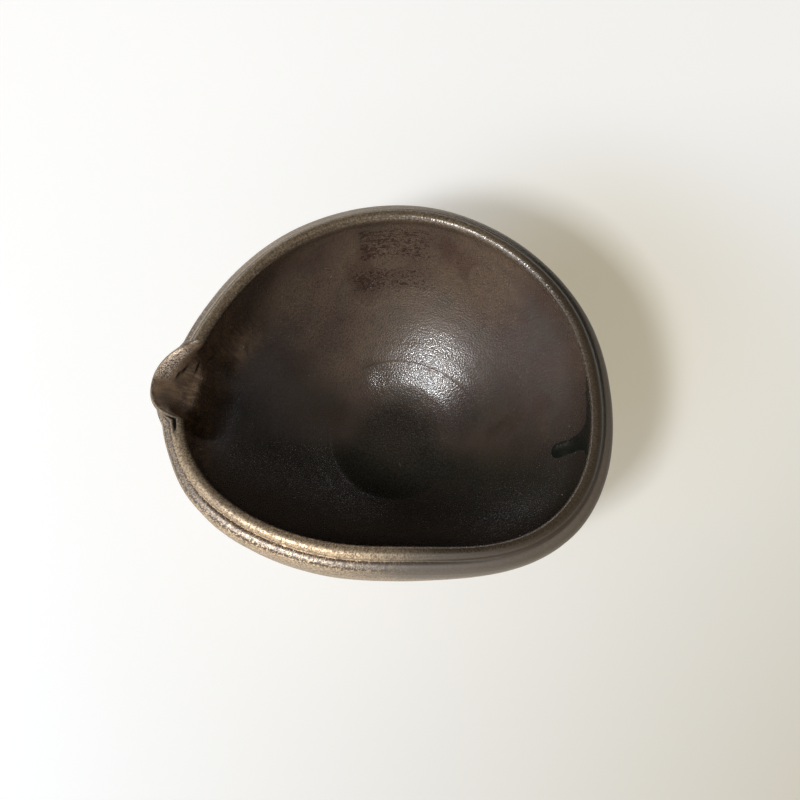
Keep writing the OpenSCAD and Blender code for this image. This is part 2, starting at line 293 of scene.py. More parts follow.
class KatakuchiSettings(bpy.types.PropertyGroup):
    """Everything that can be set."""

    bowl: PointerProperty(type=BowlSizes)
    squeeze: PointerProperty(type=SqueezeSizes)
    rim: PointerProperty(type=RimSizes)
    spout: PointerProperty(type=SpoutSizes)
    foot: PointerProperty(type=FootSizes)
    run: PointerProperty(type=RunSizes)
    marks: PointerProperty(type=HandMarks)
    colours: PointerProperty(type=GlazeColours)
    studio: PointerProperty(type=StudioSizes)


def settings():
    """The settings of this scene."""
    return bpy.context.scene.katakuchi


# Smooth steps and humps

def ease(t):
    """A smooth step from 0 to 1."""
    u = np.clip(t, 0, 1)
    return u * u * (3 - 2 * u)


def hump(distance, width):
    """A round hump of height 1."""
    return np.exp(-((distance / width) ** 2))


def window(value, low, high, soft):
    """1 between two values, falling to 0 over a soft edge."""
    return ease((value - low) / soft + 0.5) * ease((high - value) / soft + 0.5)


def rise(value, start, span):
    """A smooth step from 0 to 1 that starts at a place and takes a span, in millimetres."""
    return ease((value - start * MM) / (span * MM))


def mound(value, middle, width):
    """A round hump of height 1 at a place, in millimetres."""
    return hump(value - middle * MM, width * MM)


def between(value, low, high, soft):
    """1 between two places, falling to 0 over a soft edge, in millimetres."""
    return window(value, low * MM, high * MM, soft * MM)


def degrees_from(around, degrees):
    """How far bearings lie from a bearing, in degrees."""
    return (np.degrees(around) - degrees + 180) % 360 - 180


def sector(around, middle, start, end, soft):
    """1 from start to end of a bearing, falling to 0 over a soft edge, in degrees."""
    return window(degrees_from(around, middle), start, end, soft)


def spot(around, middle, width):
    """A round hump of height 1 at a bearing, in degrees."""
    return hump(degrees_from(around, middle), width)


def varied(around, base, *parts):
    """A value that changes round the rim: a base, and an amount for each sector."""
    return base + sum(amount * sector(around, *where) for amount, *where in parts)


# Profile

HEEL_TURN = math.radians(14)


def arc_length(points):
    """Length along a line of points, from 0."""
    steps = np.hypot(*np.diff(points, axis=0).T)
    return np.concatenate([[0], np.cumsum(steps)])


def interpolated(places, along, points):
    """Points of a line at some lengths along it."""
    return np.stack([np.interp(places, along, points[:, k]) for k in (0, 1)], -1)


def rounded(points, spread):
    """A line with its corners rounded off over a spread of steps, its ends where they were."""
    reach = int(3 * spread)
    weight = np.exp(-0.5 * (np.arange(-reach, reach + 1) / spread) ** 2)
    weight /= weight.sum()
    before = 2 * points[0] - points[reach:0:-1]
    after = 2 * points[-1] - points[-2 : -reach - 2 : -1]
    longer = np.concatenate([before, points, after])
    return np.stack([np.convolve(longer[:, k], weight, "valid") for k in (0, 1)], -1)


def bowl_stretches(sizes):
    """Reach and height along the profile, stretch by stretch, from the floor over the lip to the foot."""
    bowl, rim, foot = sizes.bowl, sizes.rim, sizes.foot
    floor = COAT_FLOOR + bowl.coat
    floor_edge = floor + bowl.floor_sag
    belly = bowl.rim_reach + bowl.belly_out
    belly_height = bowl.height - bowl.belly_depth
    edge_height = bowl.height - rim.lip_rise
    wall_out = (belly - bowl.floor_reach) / (1 - math.sin(bowl.heel))
    wall_up = (belly_height - floor_edge) / math.cos(bowl.heel)
    quarter = math.pi / 2

    def inside(a):
        return np.stack([belly - wall_out * (1 - np.sin(a)), belly_height - wall_up * np.cos(a)], -1)

    def inside_normal(a):
        n = np.stack([wall_up * np.sin(a), -wall_out * np.cos(a)], -1)
        return n / np.linalg.norm(n, axis=-1, keepdims=True)

    root_angle = math.asin(1 - (belly - foot.reach) / wall_out)
    hem_angle = math.acos(math.cos(root_angle) - foot.bare / wall_up)
    root_height = foot.height + foot.root
    root_wall = (inside(root_angle)[1] - root_height) / -inside_normal(root_angle)[1]
    full_wall = bowl.wall + 2 * bowl.coat

    def outside(a):
        wall = root_wall + (full_wall - root_wall) * ease((a - root_angle) / (quarter - root_angle))
        return inside(a) + wall[:, None] * inside_normal(a)

    def lip(a):
        reach = bowl.rim_reach + rim.lip_width / 2 * (1 - np.cos(a))
        return np.stack([reach, edge_height + rim.lip_rise * np.sin(a)], -1)

    t = np.linspace(0, 1, 200)
    half = np.linspace(0, quarter, 100)
    throat_reach = bowl.rim_reach + bowl.belly_out * (1 - ease(t))
    ridge = bowl.rim_reach + rim.lip_width + rim.ridge_out
    band_height = bowl.height - rim.groove_depth + rim.ridge_rise - rim.band_rise
    turn = np.linspace(quarter, -rim.band_turn, 120)
    band_reach = ridge + (rim.band_out - rim.ridge_out) * np.cos(turn)
    return {
        "floor": np.stack([bowl.floor_reach * t, floor + bowl.floor_sag * t**3], -1),
        "heel": inside(np.linspace(bowl.heel, bowl.heel + HEEL_TURN, 100)),
        "wall": inside(np.linspace(bowl.heel + HEEL_TURN, quarter, 300)),
        "throat": np.stack([throat_reach, belly_height + (edge_height - belly_height) * t], -1),
        "lip_inside": lip(half),
        "lip_outside": lip(quarter + half),
        "groove": np.array([[bowl.rim_reach + rim.lip_width, bowl.height - rim.groove_depth]]),
        "band": np.stack([band_reach, band_height + rim.band_rise * np.sin(turn)], -1),
        "outside": outside(np.linspace(quarter, hem_angle, 300)),
        "bare": outside(np.linspace(hem_angle, root_angle, 60)),
    }


class Profile:
    """The mean profile of the glazed bowl, from the middle of the floor over the lip to the foot.

    Places on it are courses: lengths along it from the middle of the floor.
    """

    STEP = 0.05 * MM
    FLOOR_CORNER = 4 * MM
    FILL_MIDDLE = 0.3
    FILL_REACH = 2.2

    def __init__(self, sizes):
        bowl, rim = sizes.bowl, sizes.rim
        self.coat = bowl.coat
        stretches = bowl_stretches(sizes)
        corners = np.concatenate(list(stretches.values()))
        corners = corners[np.concatenate([[True], np.diff(arc_length(corners)) > 1e-9])]
        along = arc_length(corners)
        even = np.linspace(0, along[-1], int(along[-1] / self.STEP))
        sharp = interpolated(even, along, corners)
        spreads = (rim.softness, bowl.floor_softness, rim.filling)
        crisp, soft, mellow = (rounded(sharp, spread / self.STEP) for spread in spreads)
        self.points = crisp + (soft - crisp) * hump(even - bowl.floor_reach, self.FLOOR_CORNER)[:, None]
        self.course = arc_length(self.points)
        self.tangents = np.gradient(self.points, axis=0)
        self.tangents /= np.linalg.norm(self.tangents, axis=1, keepdims=True)
        self.normals = np.stack([-self.tangents[:, 1], self.tangents[:, 0]], -1)
        self.start = {}
        for name, stretch in stretches.items():
            nearest = np.linalg.norm(sharp - stretch[0], axis=1).argmin()
            self.start[name] = float(self.course[nearest])
        self.start["crest"] = self.start["lip_outside"]
        self.start["root"] = float(self.course[-1])
        at_groove = mound(self.course - self.start["groove"], self.FILL_MIDDLE, self.FILL_REACH)
        self.filling = (mellow - self.points) * at_groove[:, None]

    def rows(self, *stops):
        """Courses from stop to stop, with the spacing in millimetres given between the stops."""
        places = [self.start[stops[0]]]
        for spacing, stop in zip(stops[1::2], stops[2::2]):
            end = self.start[stop]
            count = max(1, round((end - places[-1]) / (spacing * MM)))
            places.extend(np.linspace(places[-1], end, count + 1)[1:])
        return np.array(places)

    def read(self, values, course):
        """Values of the profile's points at some courses."""
        return interpolated(course, self.course, values)

    def at(self, course, depth=0.0):
        """Reach and height at some courses, at a depth under the glaze."""
        return self.read(self.points, course) - depth * self.read(self.normals, course)


# Node graphs

class Wire:
    """A value in a node graph. Arithmetic on it adds Math nodes."""

    def __init__(self, graph, socket):
        self.graph = graph
        self.socket = socket

    def reckon(self, operation, other, swapped=False):
        """Adds a Math node for this value and another, or for the other one first."""
        pair = (other, self) if swapped else (self, other)
        return self.graph.math(operation, *pair)

    __add__ = partialmethod(reckon, "ADD")
    __radd__ = partialmethod(reckon, "ADD", swapped=True)
    __sub__ = partialmethod(reckon, "SUBTRACT")
    __rsub__ = partialmethod(reckon, "SUBTRACT", swapped=True)
    __mul__ = partialmethod(reckon, "MULTIPLY")
    __rmul__ = partialmethod(reckon, "MULTIPLY", swapped=True)
    __truediv__ = partialmethod(reckon, "DIVIDE")
    __pow__ = partialmethod(reckon, "POWER")


class Graph:
    """A node tree with short ways to add nodes and links."""

    def __init__(self, tree):
        self.tree = tree

    def feed(self, socket, value):
        """Links a wire to a socket, or sets a plain value on it."""
        if isinstance(value, Wire):
            self.tree.links.new(value.socket, socket)
        else:
            socket.default_value = value

    def node(self, kind, inputs=None, **choices):
        """Adds a node with its choices and its inputs."""
        made = self.tree.nodes.new(kind)
        for name, choice in choices.items():
            setattr(made, name, choice)
        for key, value in (inputs or {}).items():
            socket = made.inputs[key]
            if isinstance(key, str):
                socket = next(s for s in made.inputs if s.name == key and s.enabled)
            self.feed(socket, value)
        return made

    def out(self, kind, inputs=None, result=0, **choices):
        """Adds a node and gives one of its results."""
        made = self.node(kind, inputs, **choices)
        if isinstance(result, str):
            socket = next(s for s in made.outputs if s.name == result and s.enabled)
        else:
            socket = [s for s in made.outputs if s.enabled][result]
        return Wire(self, socket)

    def math(self, operation, *values):
        """Adds a Math node."""
        return self.out("ShaderNodeMath", dict(enumerate(values)), operation=operation)

    def ramp(self, value, low, high, to_low=0.0, to_high=1.0, smooth=True):
        """A step from one value to another as a value goes from low to high."""
        return self.out(
            "ShaderNodeMapRange",
            {"Value": value, "From Min": low, "From Max": high, "To Min": to_low, "To Max": to_high},
            interpolation_type="SMOOTHSTEP" if smooth else "LINEAR",
        )


class NodesTree(Graph):
    """A Geometry Nodes tree with named inputs."""

    def __init__(self, name, inputs):
        super().__init__(bpy.data.node_groups.new(name, "GeometryNodeTree"))
        face = self.tree.interface
        face.new_socket("Geometry", in_out="INPUT", socket_type="NodeSocketGeometry")
        for label, kind in inputs.items():
            face.new_socket(label, in_out="INPUT", socket_type=f"NodeSocket{kind}")
        face.new_socket("Geometry", in_out="OUTPUT", socket_type="NodeSocketGeometry")
        entry = self.tree.nodes.new("NodeGroupInput")
        self.given = {s.name: Wire(self, s) for s in entry.outputs if s.name}

    def finish(self, geometry):
        """Realizes the instances, sets the material and ends the tree."""
        real = self.out("GeometryNodeRealizeInstances", {0: geometry})
        dressed = self.out("GeometryNodeSetMaterial", {"Geometry": real, "Material": self.given["Material"]})
        leave = self.tree.nodes.new("NodeGroupOutput")
        self.tree.links.new(dressed.socket, leave.inputs[0])


def settle(obj, tree, inputs):
    """Runs a tree on an object and keeps its result as a plain mesh."""
    modifier = obj.modifiers.new(tree.name, "NODES")
    modifier.node_group = tree
    for item in tree.interface.items_tree:
        if item.item_type == "SOCKET" and item.in_out == "INPUT" and item.name in inputs:
            modifier[item.identifier] = inputs[item.name]
    depsgraph = bpy.context.evaluated_depsgraph_get()
    depsgraph.update()
    made = bpy.data.meshes.new_from_object(
        obj.evaluated_get(depsgraph), preserve_all_data_layers=True, depsgraph=depsgraph
    )
    obj.modifiers.clear()
    obj.data = made
    made.name = obj.name
    return obj


# Loft

SQUEEZE_WAVES = 6
LOFT_NUMBERS = (
    "Crowding", "Height", "Round height", "Squeezed height", "Spout bearing", "Spout reach", "Far angle",
    "Near angle", "Spout dip", "Spout depth", "Far power", "Near power", "Fade",
)
MERGE_DISTANCE = 1e-7


def squeezed_loft_tree():
    """Sweeps a profile round the throwing axis, squeezes it out of round and pulls the spout."""
    name = "Squeezed loft"
    if name in bpy.data.node_groups:
        return bpy.data.node_groups[name]
    inputs = {"Around": "Int", "Material": "Material"}
    inputs.update((label, "Float") for label in LOFT_NUMBERS)
    for k in range(1, SQUEEZE_WAVES + 1):
        inputs[f"Wave {k}"] = "Float"
        inputs[f"Wave bearing {k}"] = "Float"
    t = NodesTree(name, inputs)
    given = t.given
    profile = given["Geometry"]
    count = t.out("GeometryNodeAttributeDomainSize", {"Geometry": profile}, "Point Count", component="MESH")
    grid = t.out("GeometryNodeMeshGrid", {"Vertices X": given["Around"] + 1, "Vertices Y": count})
    index = t.out("GeometryNodeInputIndex")
    column = t.math("FLOOR", (index + 0.5) / count)
    row = index - column * count

    def of_row(value, kind):
        sampled = {"Geometry": profile, "Value": value, "Index": row}
        return t.out("GeometryNodeSampleIndex", sampled, data_type=kind)

    course = t.out("GeometryNodeInputNamedAttribute", {"Name": "course"}, "Attribute", data_type="FLOAT")
    place = of_row(t.out("GeometryNodeInputPosition"), "FLOAT_VECTOR")
    reach, height = (t.out("ShaderNodeSeparateXYZ", {0: place}, axis) for axis in "XZ")
    turn = column / given["Around"] * math.tau
    around = turn - given["Crowding"] * t.math("SINE", turn - given["Spout bearing"])
    squeeze = 0.0
    for k in range(1, SQUEEZE_WAVES + 1):
        wave = t.math("COSINE", (around - given[f"Wave bearing {k}"]) * k) * given[f"Wave {k}"]
        squeeze = wave + squeeze
    pressed = t.ramp(height, given["Round height"], given["Squeezed height"])
    off = around - given["Spout bearing"]
    far = t.math("MAXIMUM", off * -1.0, 0.0) / given["Far angle"]
    near = t.math("MAXIMUM", off, 0.0) / given["Near angle"]
    far_pull = t.math("MAXIMUM", 1.0 - far ** given["Far power"], 0.0)
    near_pull = t.math("MAXIMUM", 1.0 - near ** given["Near power"], 0.0)
    below = (given["Height"] - height) / given["Spout depth"]
    fade = t.math("MAXIMUM", 1.0 - below, 0.0) ** given["Fade"]
    lift = far_pull * near_pull * fade
    reach = reach + squeeze * pressed + given["Spout reach"] * lift
    swept_place = {
        "X": reach * t.math("COSINE", around),
        "Y": reach * t.math("SINE", around),
        "Z": height - given["Spout dip"] * lift,
    }
    marked = t.out(
        "GeometryNodeStoreNamedAttribute",
        {"Geometry": grid, "Name": "course", "Value": of_row(course, "FLOAT")},
        data_type="FLOAT",
        domain="POINT",
    )
    swept = t.out(
        "GeometryNodeSetPosition",
        {"Geometry": marked, "Position": t.out("ShaderNodeCombineXYZ", swept_place)},
    )
    outwards = t.out("GeometryNodeFlipFaces", {0: swept})
    closed = t.out("GeometryNodeMergeByDistance", {"Geometry": outwards, "Distance": MERGE_DISTANCE})
    t.finish(t.out("GeometryNodeSetShadeSmooth", {"Geometry": closed}))
    return t.tree


def loft_inputs(around, crowding, material):
    """The loft's inputs from the settings."""
    s = settings()
    inputs = {
        "Around": around,
        "Crowding": crowding,
        "Material": material,
        "Height": s.bowl.height,
        "Round height": s.squeeze.round_height,
        "Squeezed height": s.squeeze.squeezed_height,
        "Spout bearing": s.spout.bearing,
        "Spout reach": s.spout.reach,
        "Far angle": s.spout.far_width / s.bowl.rim_reach,
        "Near angle": s.spout.near_width / s.bowl.rim_reach,
        "Spout dip": s.spout.dip,
        "Spout depth": s.spout.depth,
        "Far power": s.spout.far_power,
        "Near power": s.spout.near_power,
        "Fade": s.spout.fade_power,
    }
    for k in range(SQUEEZE_WAVES):
        inputs[f"Wave {k + 1}"] = s.squeeze.amounts[k]
        inputs[f"Wave bearing {k + 1}"] = s.squeeze.bearings[k]
    return inputs


def new_object(name, mesh):
    """Puts a mesh into the scene as an object at the origin."""
    obj = bpy.data.objects.new(name, mesh)
    bpy.context.scene.collection.objects.link(obj)
    return obj


def loft(name, points, courses, around, crowding, material):
    """A solid of revolution, squeezed and pulled as the bowl is."""
    mesh = bpy.data.meshes.new(name)
    mesh.from_pydata([(r, 0.0, z) for r, z in points], [], [])
    store(mesh, "course", np.asarray(courses))
    obj = new_object(name, mesh)
    return settle(obj, squeezed_loft_tree(), loft_inputs(around, crowding, material))


def spout_pull(around):
    """How far the lip is pulled out at some bearings, from 0 to 1 at the tip."""
    s = settings()
    off = around - s.spout.bearing
    far = np.maximum(-off, 0) * s.bowl.rim_reach / s.spout.far_width
    near = np.maximum(off, 0) * s.bowl.rim_reach / s.spout.near_width
    return np.maximum(1 - far ** s.spout.far_power, 0) * np.maximum(1 - near ** s.spout.near_power, 0)


def turned(pairs, around):
    """Reach and height pairs, turned to their bearings."""
    return np.stack([pairs[..., 0] * np.cos(around), pairs[..., 0] * np.sin(around), pairs[..., 1]], -1)


def placed(around, reach, height):
    """Points of the squeezed and pulled bowl, as the loft places them."""
    s = settings()
    waves = zip(range(1, SQUEEZE_WAVES + 1), s.squeeze.amounts, s.squeeze.bearings)
    squeeze = sum(amount * np.cos(k * (around - crest)) for k, amount, crest in waves)
    pressed = ease((height - s.squeeze.round_height) / (s.squeeze.squeezed_height - s.squeeze.round_height))
    below = (s.bowl.height - height) / s.spout.depth
    lift = spout_pull(around) * np.maximum(1 - below, 0) ** s.spout.fade_power
    pairs = np.stack([reach + squeeze * pressed + s.spout.reach * lift, height - s.spout.dip * lift], -1)
    return turned(pairs, around)


# Mesh data

def mesh_points(mesh):
    """The mesh's points as an array."""
    points = np.empty(len(mesh.vertices) * 3, np.float32)
    mesh.vertices.foreach_get("co", points)
    return points.reshape(-1, 3).astype(float)


def move_points(mesh, points):
    """Puts the mesh's points in new places."""
    mesh.vertices.foreach_set("co", np.asarray(points, np.float32).ravel())


def mesh_floats(mesh, name):
    """A point attribute as an array."""
    values = np.empty(len(mesh.vertices), np.float32)
    mesh.attributes[name].data.foreach_get("value", values)
    return values.astype(float)


def store(mesh, name, values):
    """Keeps values, or vectors, on the mesh's points."""
    kind, key = ("FLOAT_VECTOR", "vector") if values.ndim == 2 else ("FLOAT", "value")
    attribute = mesh.attributes.get(name) or mesh.attributes.new(name, kind, "POINT")
    attribute.data.foreach_set(key, np.asarray(values, np.float32).ravel())


# Marks of the hand

# Lengths are in millimetres and angles in degrees.
# A sector is a bearing, its start and end from there, and its softness.
# A slit is a bearing, a depth below the crest, a length and a slant.
SPOUT_SLITS = (
    (175.4, 4.6, 3.4, -4.5),
    (173.6, 5.6, 4.0, -4.5),
    (171.4, 9.8, 6.0, -4.0),
    (165.8, 19.0, 7.0, -1.6),
)
SLIT_WIDTH = 0.38
SLIT_DEPTH = 0.45
POCKET_DEPTH = 0.7
THROAT_FILL = 3.8
FAR_SIDE = (113, -62, 62, 26)
FAR_BEAD = 0.45
NEAR_LEFT = (238, -62, 55, 40)
NEAR_LEFT_LIP = 0.35
NEAR_RIGHT = (298, -28, 28, 20)
NEAR_FOLD = (185.5, -5, 5, 4)
NEAR_FOLD_HEIGHT = 0.35
FAR_FOLD_HEIGHT = 0.4
NEAR_WALL = (248, -40, 42, 36)
NEAR_WALL_FULLNESS = 0.9
WALL_RING = 0.07
WALL_RING_PITCH = 6.5
FLOOR_SPIRAL = 0.018
FLOOR_SPIRAL_PITCH = 3.2
FLOOR_EDGE_RING = 0.05
WALL_ARC = 0.03
NICK_BEARING = 152.4
NICK_HEIGHT = 36.8
NICK_RIDGE = 0.42
NICK_DENT = 0.30
TRIM_RING = 0.05
TRIM_RING_PITCH = 1.6
PIT_BEARING = 279
PIT_REACH = 9
PIT_DEPTH = 0.35

# Amount, count and phase of the waves in the glaze line
HEM_WAVES = ((0.5, 3, 0.6), (0.35, 7, 2.0), (0.3, 11, 4.1))

# Base, then an amount for each sector
GROOVE_FILLING = (0.4, (0.6, 50, -118, 115, 40), (0.3, 202, -16, 16, 20), (-0.4, 252, -32, 32, 36))


def swell(points, size, seed):
    """Smooth noise between about -1 and 1 at points in metres, for swells of a size in millimetres."""
    scaled = points / (size * MM) + seed
    return np.array([noise.noise(Vector(p)) for p in scaled])


def slit_field(profile, around, course):
    """How close points lie to one of the short slits on the spout's far flank."""
    reach = settings().bowl.rim_reach
    field = np.zeros_like(course)
    for degrees, depth, long, slant in SPOUT_SLITS:
        along = np.radians(degrees_from(around, degrees)) * reach
        down = profile.start["crest"] - depth * MM - course
        lean = math.atan(slant)
        lengthwise = along * math.sin(lean) + down * math.cos(lean)
        across = along * math.cos(lean) - down * math.sin(lean)
        field = np.maximum(field, mound(across, 0, SLIT_WIDTH) * mound(lengthwise, 0, long / 2) ** 2)
    return field


def pool_fields(profile, around, course):
    """Where black glaze has pooled: the pocket at the spout's near root, painted black as shade, and the
    glossy patch by its tip, whose dark colour is a painted reflection.
    """
    past = course - profile.start["crest"]
    pocket = spot(around, 189.6, 2.5) * mound(past, 1.1, 1.0)
    patch = spot(around, 182.4, 3.0) * mound(past, -2.6, 1.7)
    return np.clip(1.6 * pocket, 0, 1), np.clip(1.2 * patch, 0, 1)


def far_bead(profile, around, course):
    """The thin raised line on top of the band along the far side, from 0 to 1."""
    return mound(course - profile.start["band"], 0.05, 0.45) * sector(around, *FAR_SIDE)


def sculpted(profile, around, course):
    """How far clay and glaze alike stand out at the rim and the spout, along the normal."""
    past = course - profile.start["crest"]
    pocket, _ = pool_fields(profile, around, course)
    bulge = 0.6 * spot(around, 220, 12) - 0.6 * spot(around, 197, 7) + 0.35 * sector(around, *NEAR_RIGHT)
    throat = ease(spout_pull(around)) * rise(-past, 3, 12) * rise(past, -38, 22)
    forms = (
        (-POCKET_DEPTH, pocket),
        (NEAR_LEFT_LIP, sector(around, *NEAR_LEFT) * mound(past, 2.4, 1.2)),
        (1, bulge * rise(past, 4, 2) * rise(past, 22, -8)),
        (THROAT_FILL, throat),
        (FAR_BEAD, far_bead(profile, around, course)),
        (NEAR_FOLD_HEIGHT, sector(around, *NEAR_FOLD) * mound(past, 0, 0.55)),
        (FAR_FOLD_HEIGHT, spot(around, 169.4, 1.3) * mound(past, -0.8, 1.0)),
    )
    return sum(height * MM * form for height, form in forms)


def uneven(points):
    """Height of the slow swells that both coats share, so that they meet along the crest."""
    amount = settings().marks.unevenness
    return amount * swell(points, 15, 3.7) + 0.25 * amount * swell(points, 4, 8.1)


def inside_relief(profile, around, course, points):
    """Height of the marks inside: throwing rings, the floor's groove, a nick, a pit and the slits."""
    marks = settings().marks
    reach, height = profile.at(course).T
    wheel = rise(reach, 4, 6) * window(course, 0, profile.start["throat"], 12 * MM)
    relief = uneven(points)
    relief += marks.ring_height * wheel * np.sin(math.tau * course / marks.ring_pitch + around)

    turn = degrees_from(around, 65)
    line = reach - (25.9 - 0.012 * turn + 0.0009 * np.maximum(-turn, 0) ** 2) * MM
    drawn = window(turn, -62, 78, 40)
    relief -= marks.groove_depth * drawn * mound(line, 0, 0.28)
    relief += WALL_ARC * MM * drawn * mound(line, 1.1, 0.7)
    relief += WALL_ARC * MM * mound(reach, 33.4, 1.2) * window(turn, -40, 30, 30)
    relief += FLOOR_EDGE_RING * MM * mound(reach, 21.6, 0.8)
    spiral = np.sin(math.tau * reach / (FLOOR_SPIRAL_PITCH * MM) - around)
    relief += FLOOR_SPIRAL * MM * spiral * between(reach, 3, 17, 3)

    nick_along = np.radians(degrees_from(around, NICK_BEARING)) * reach
    nick_up = height - NICK_HEIGHT * MM
    slanted = nick_along + 0.6 * nick_up
    relief += NICK_RIDGE * MM * mound(slanted, 0, 0.6) * mound(nick_up, 0, 1.4)
    relief -= NICK_DENT * MM * mound(slanted, 1.4, 0.7) * mound(nick_up, 0, 1.2)
    pit = np.hypot(np.radians(degrees_from(around, PIT_BEARING)) * reach, reach - PIT_REACH * MM)
    relief -= PIT_DEPTH * MM * mound(pit, 0, 0.5)
    return relief - SLIT_DEPTH * MM * slit_field(profile, around, course)


def outside_relief(profile, around, course, points):
    """Height of the marks outside: soft rings on the wall and the rolled edge of the glaze."""
    below_band = course - profile.start["outside"]
    to_hem = profile.start["bare"] - course
    wall = window(below_band, 4 * MM, profile.start["bare"] - profile.start["outside"], 8 * MM)
    rings = np.sin(math.tau * course / (WALL_RING_PITCH * MM) + around)
    fuller = sector(around, *NEAR_WALL) * mound(profile.at(course)[:, 1], 45, 9) * rise(below_band, 0, 3)
    relief = uneven(points) + WALL_RING * MM * wall * rings
    relief += NEAR_WALL_FULLNESS * MM * fuller
    return relief + settings().marks.hem_roll * mound(to_hem, 0.9, 0.8)


def hem_shift(profile, around, course):
    """How far the glaze line is drawn down or up the wall."""
    wander = sum(amount * np.sin(count * around + phase) for amount, count, phase in HEM_WAVES)
    near = ease(1 - (profile.start["bare"] - course) / (9 * MM))
    return settings().marks.hem_wave * wander * near


def trimming_relief(profile, around, course, points):
    """Height of the turning marks on the bare clay."""
    relief = 0.5 * settings().marks.unevenness * swell(points, 9, 1.3)
    relief += TRIM_RING * MM * np.sin(math.tau * course / (TRIM_RING_PITCH * MM) + around)
    return np.where(course > profile.start["bare"] - 1 * MM, relief, 0)


def press_marks(obj, profile, relief, shift=None):
    """Moves a piece's points as the hand did and keeps what its material reads.

    The relief is pressed into the shown points only: those with a course that isn't negative.
    """
    mesh = obj.data
    points = mesh_points(mesh)
    marked = mesh_floats(mesh, "course")
    course = np.abs(marked)
    shown = marked >= 0
    around = np.arctan2(points[:, 1], points[:, 0]) % math.tau
    out = turned(profile.read(profile.normals, course), around)
    out[np.hypot(points[:, 0], points[:, 1]) < 1e-6] = (0, 0, 1)
    height = sculpted(profile, around, course)
    height[shown] += relief(profile, around[shown], course[shown], points[shown])
    filled = profile.read(profile.filling, course) * varied(around, *GROOVE_FILLING)[:, None]
    moved = points + turned(filled, around) + height[:, None] * out
    if shift:
        along = turned(profile.read(profile.tangents, course), around)
        moved += shift(profile, around, course)[:, None] * along
    move_points(mesh, moved)
    rim = settings().bowl.rim_reach
    store(mesh, "ring", np.stack([rim * np.cos(around), rim * np.sin(around), course], -1))
    return around, course, shown


# Where the glaze changes, as sectors and amounts. The lustre sectors paint light and shade: more bronze on
# the lip and the band towards the window and along the far lip, less towards the right and on the outer wall
# at the near right.

LIP_LUSTRE_AND_LIGHT = (0.03, (0.28, 110, -60, 60, 40), (0.62, 228, -45, 40, 45), (0.4, 249, -22, 18, 30))
BAND_LUSTRE_AND_LIGHT = (0.05, (0.45, 165, -95, 90, 40), (0.5, 245, -28, 18, 32), (-0.3, 110, -50, 45, 30))
WALL_LUSTRE_AND_SHADE = (0.7, (-0.25, 305, -30, 40, 30))
BEAD_LUSTRE = 0.1
SPOUT_LUSTRE = 0.25
# Painted reflection: how pale the band is painted, most along the far side
BAND_PALENESS_AND_REFLECTION = (0.12, (0.13, 0, -50, 50, 40), (0.75, 100, -45, 50, 40))
SLEEK_LIP = (75, -75, 70, 40)
GILT_AND_HIGHLIGHT = (173.2, -4.8, 4.2, 3)
# Painted light on the wall below the spout
PAINTED_LIGHT_BELOW_SPOUT = (176, -28, 22, 18)
# Sectors of painted shade inside: towards the near left, and low on the right and the left walls.
PAINTED_SHADE_SIDE = (250, -72, 105, 50)
PAINTED_SHADE_LOW_RIGHT = (0, -60, 30, 40)
PAINTED_SHADE_LOW_LEFT = (180, -40, 40, 30)


def rim_fields(profile, around, course):
    """Where the glaze breaks to bronze along the lip, the band and the spout, more towards the window as
    painted light and less away from it as painted shade; where the band is painted pale as a painted
    reflection; and where the glaze runs thin in the spout, whose inside and the wall below it are painted
    lighter as painted light.
    """
    past = course - profile.start["crest"]
    past_edge = course - profile.start["lip_inside"]
    pull = ease(spout_pull(around) / 0.5)
    bead = far_bead(profile, around, course)
    on_lip = rise(past_edge, -0.8, 1.2)
    on_band = rise(course - profile.start["groove"], 0, 1)
    on_wall = rise(course - profile.start["outside"], 0, 5)
    # Painted light and shade: the bronze grows towards the window and fades away from it
    lustre = varied(around, *LIP_LUSTRE_AND_LIGHT)
    lustre += (varied(around, *BAND_LUSTRE_AND_LIGHT) - lustre) * on_band
    lustre += (BEAD_LUSTRE - lustre) * bead
    lustre += (varied(around, *WALL_LUSTRE_AND_SHADE) - lustre) * on_wall
    in_spout = pull * rise(past_edge, -10, 9)
    # Rosy gold speckle on the spout's far flank, partly a painted highlight
    gilt = sector(around, *GILT_AND_HIGHLIGHT) * between(past, -3.2, 1, 2)
    # Painted light: the spout's inside, and the wall below it, take the lighter spout colour
    trough_painted_light = pull * rise(past, -36, 24) * rise(-past, 0, 0.8)
    below = 0.7 * sector(around, *PAINTED_LIGHT_BELOW_SPOUT) * between(past, -32, -10, 12)
    return {
        "bronze": np.maximum.reduce([on_lip * lustre, SPOUT_LUSTRE * in_spout, gilt]),
        "lip": on_lip,
        # Painted reflection: the band and the far bead painted pale
        "band": np.maximum(on_band * np.clip(varied(around, *BAND_PALENESS_AND_REFLECTION), 0, 1), bead),
        "spout": np.maximum(trough_painted_light, below),
        "sleek": sector(around, *SLEEK_LIP),
        "gilt": gilt,
    }


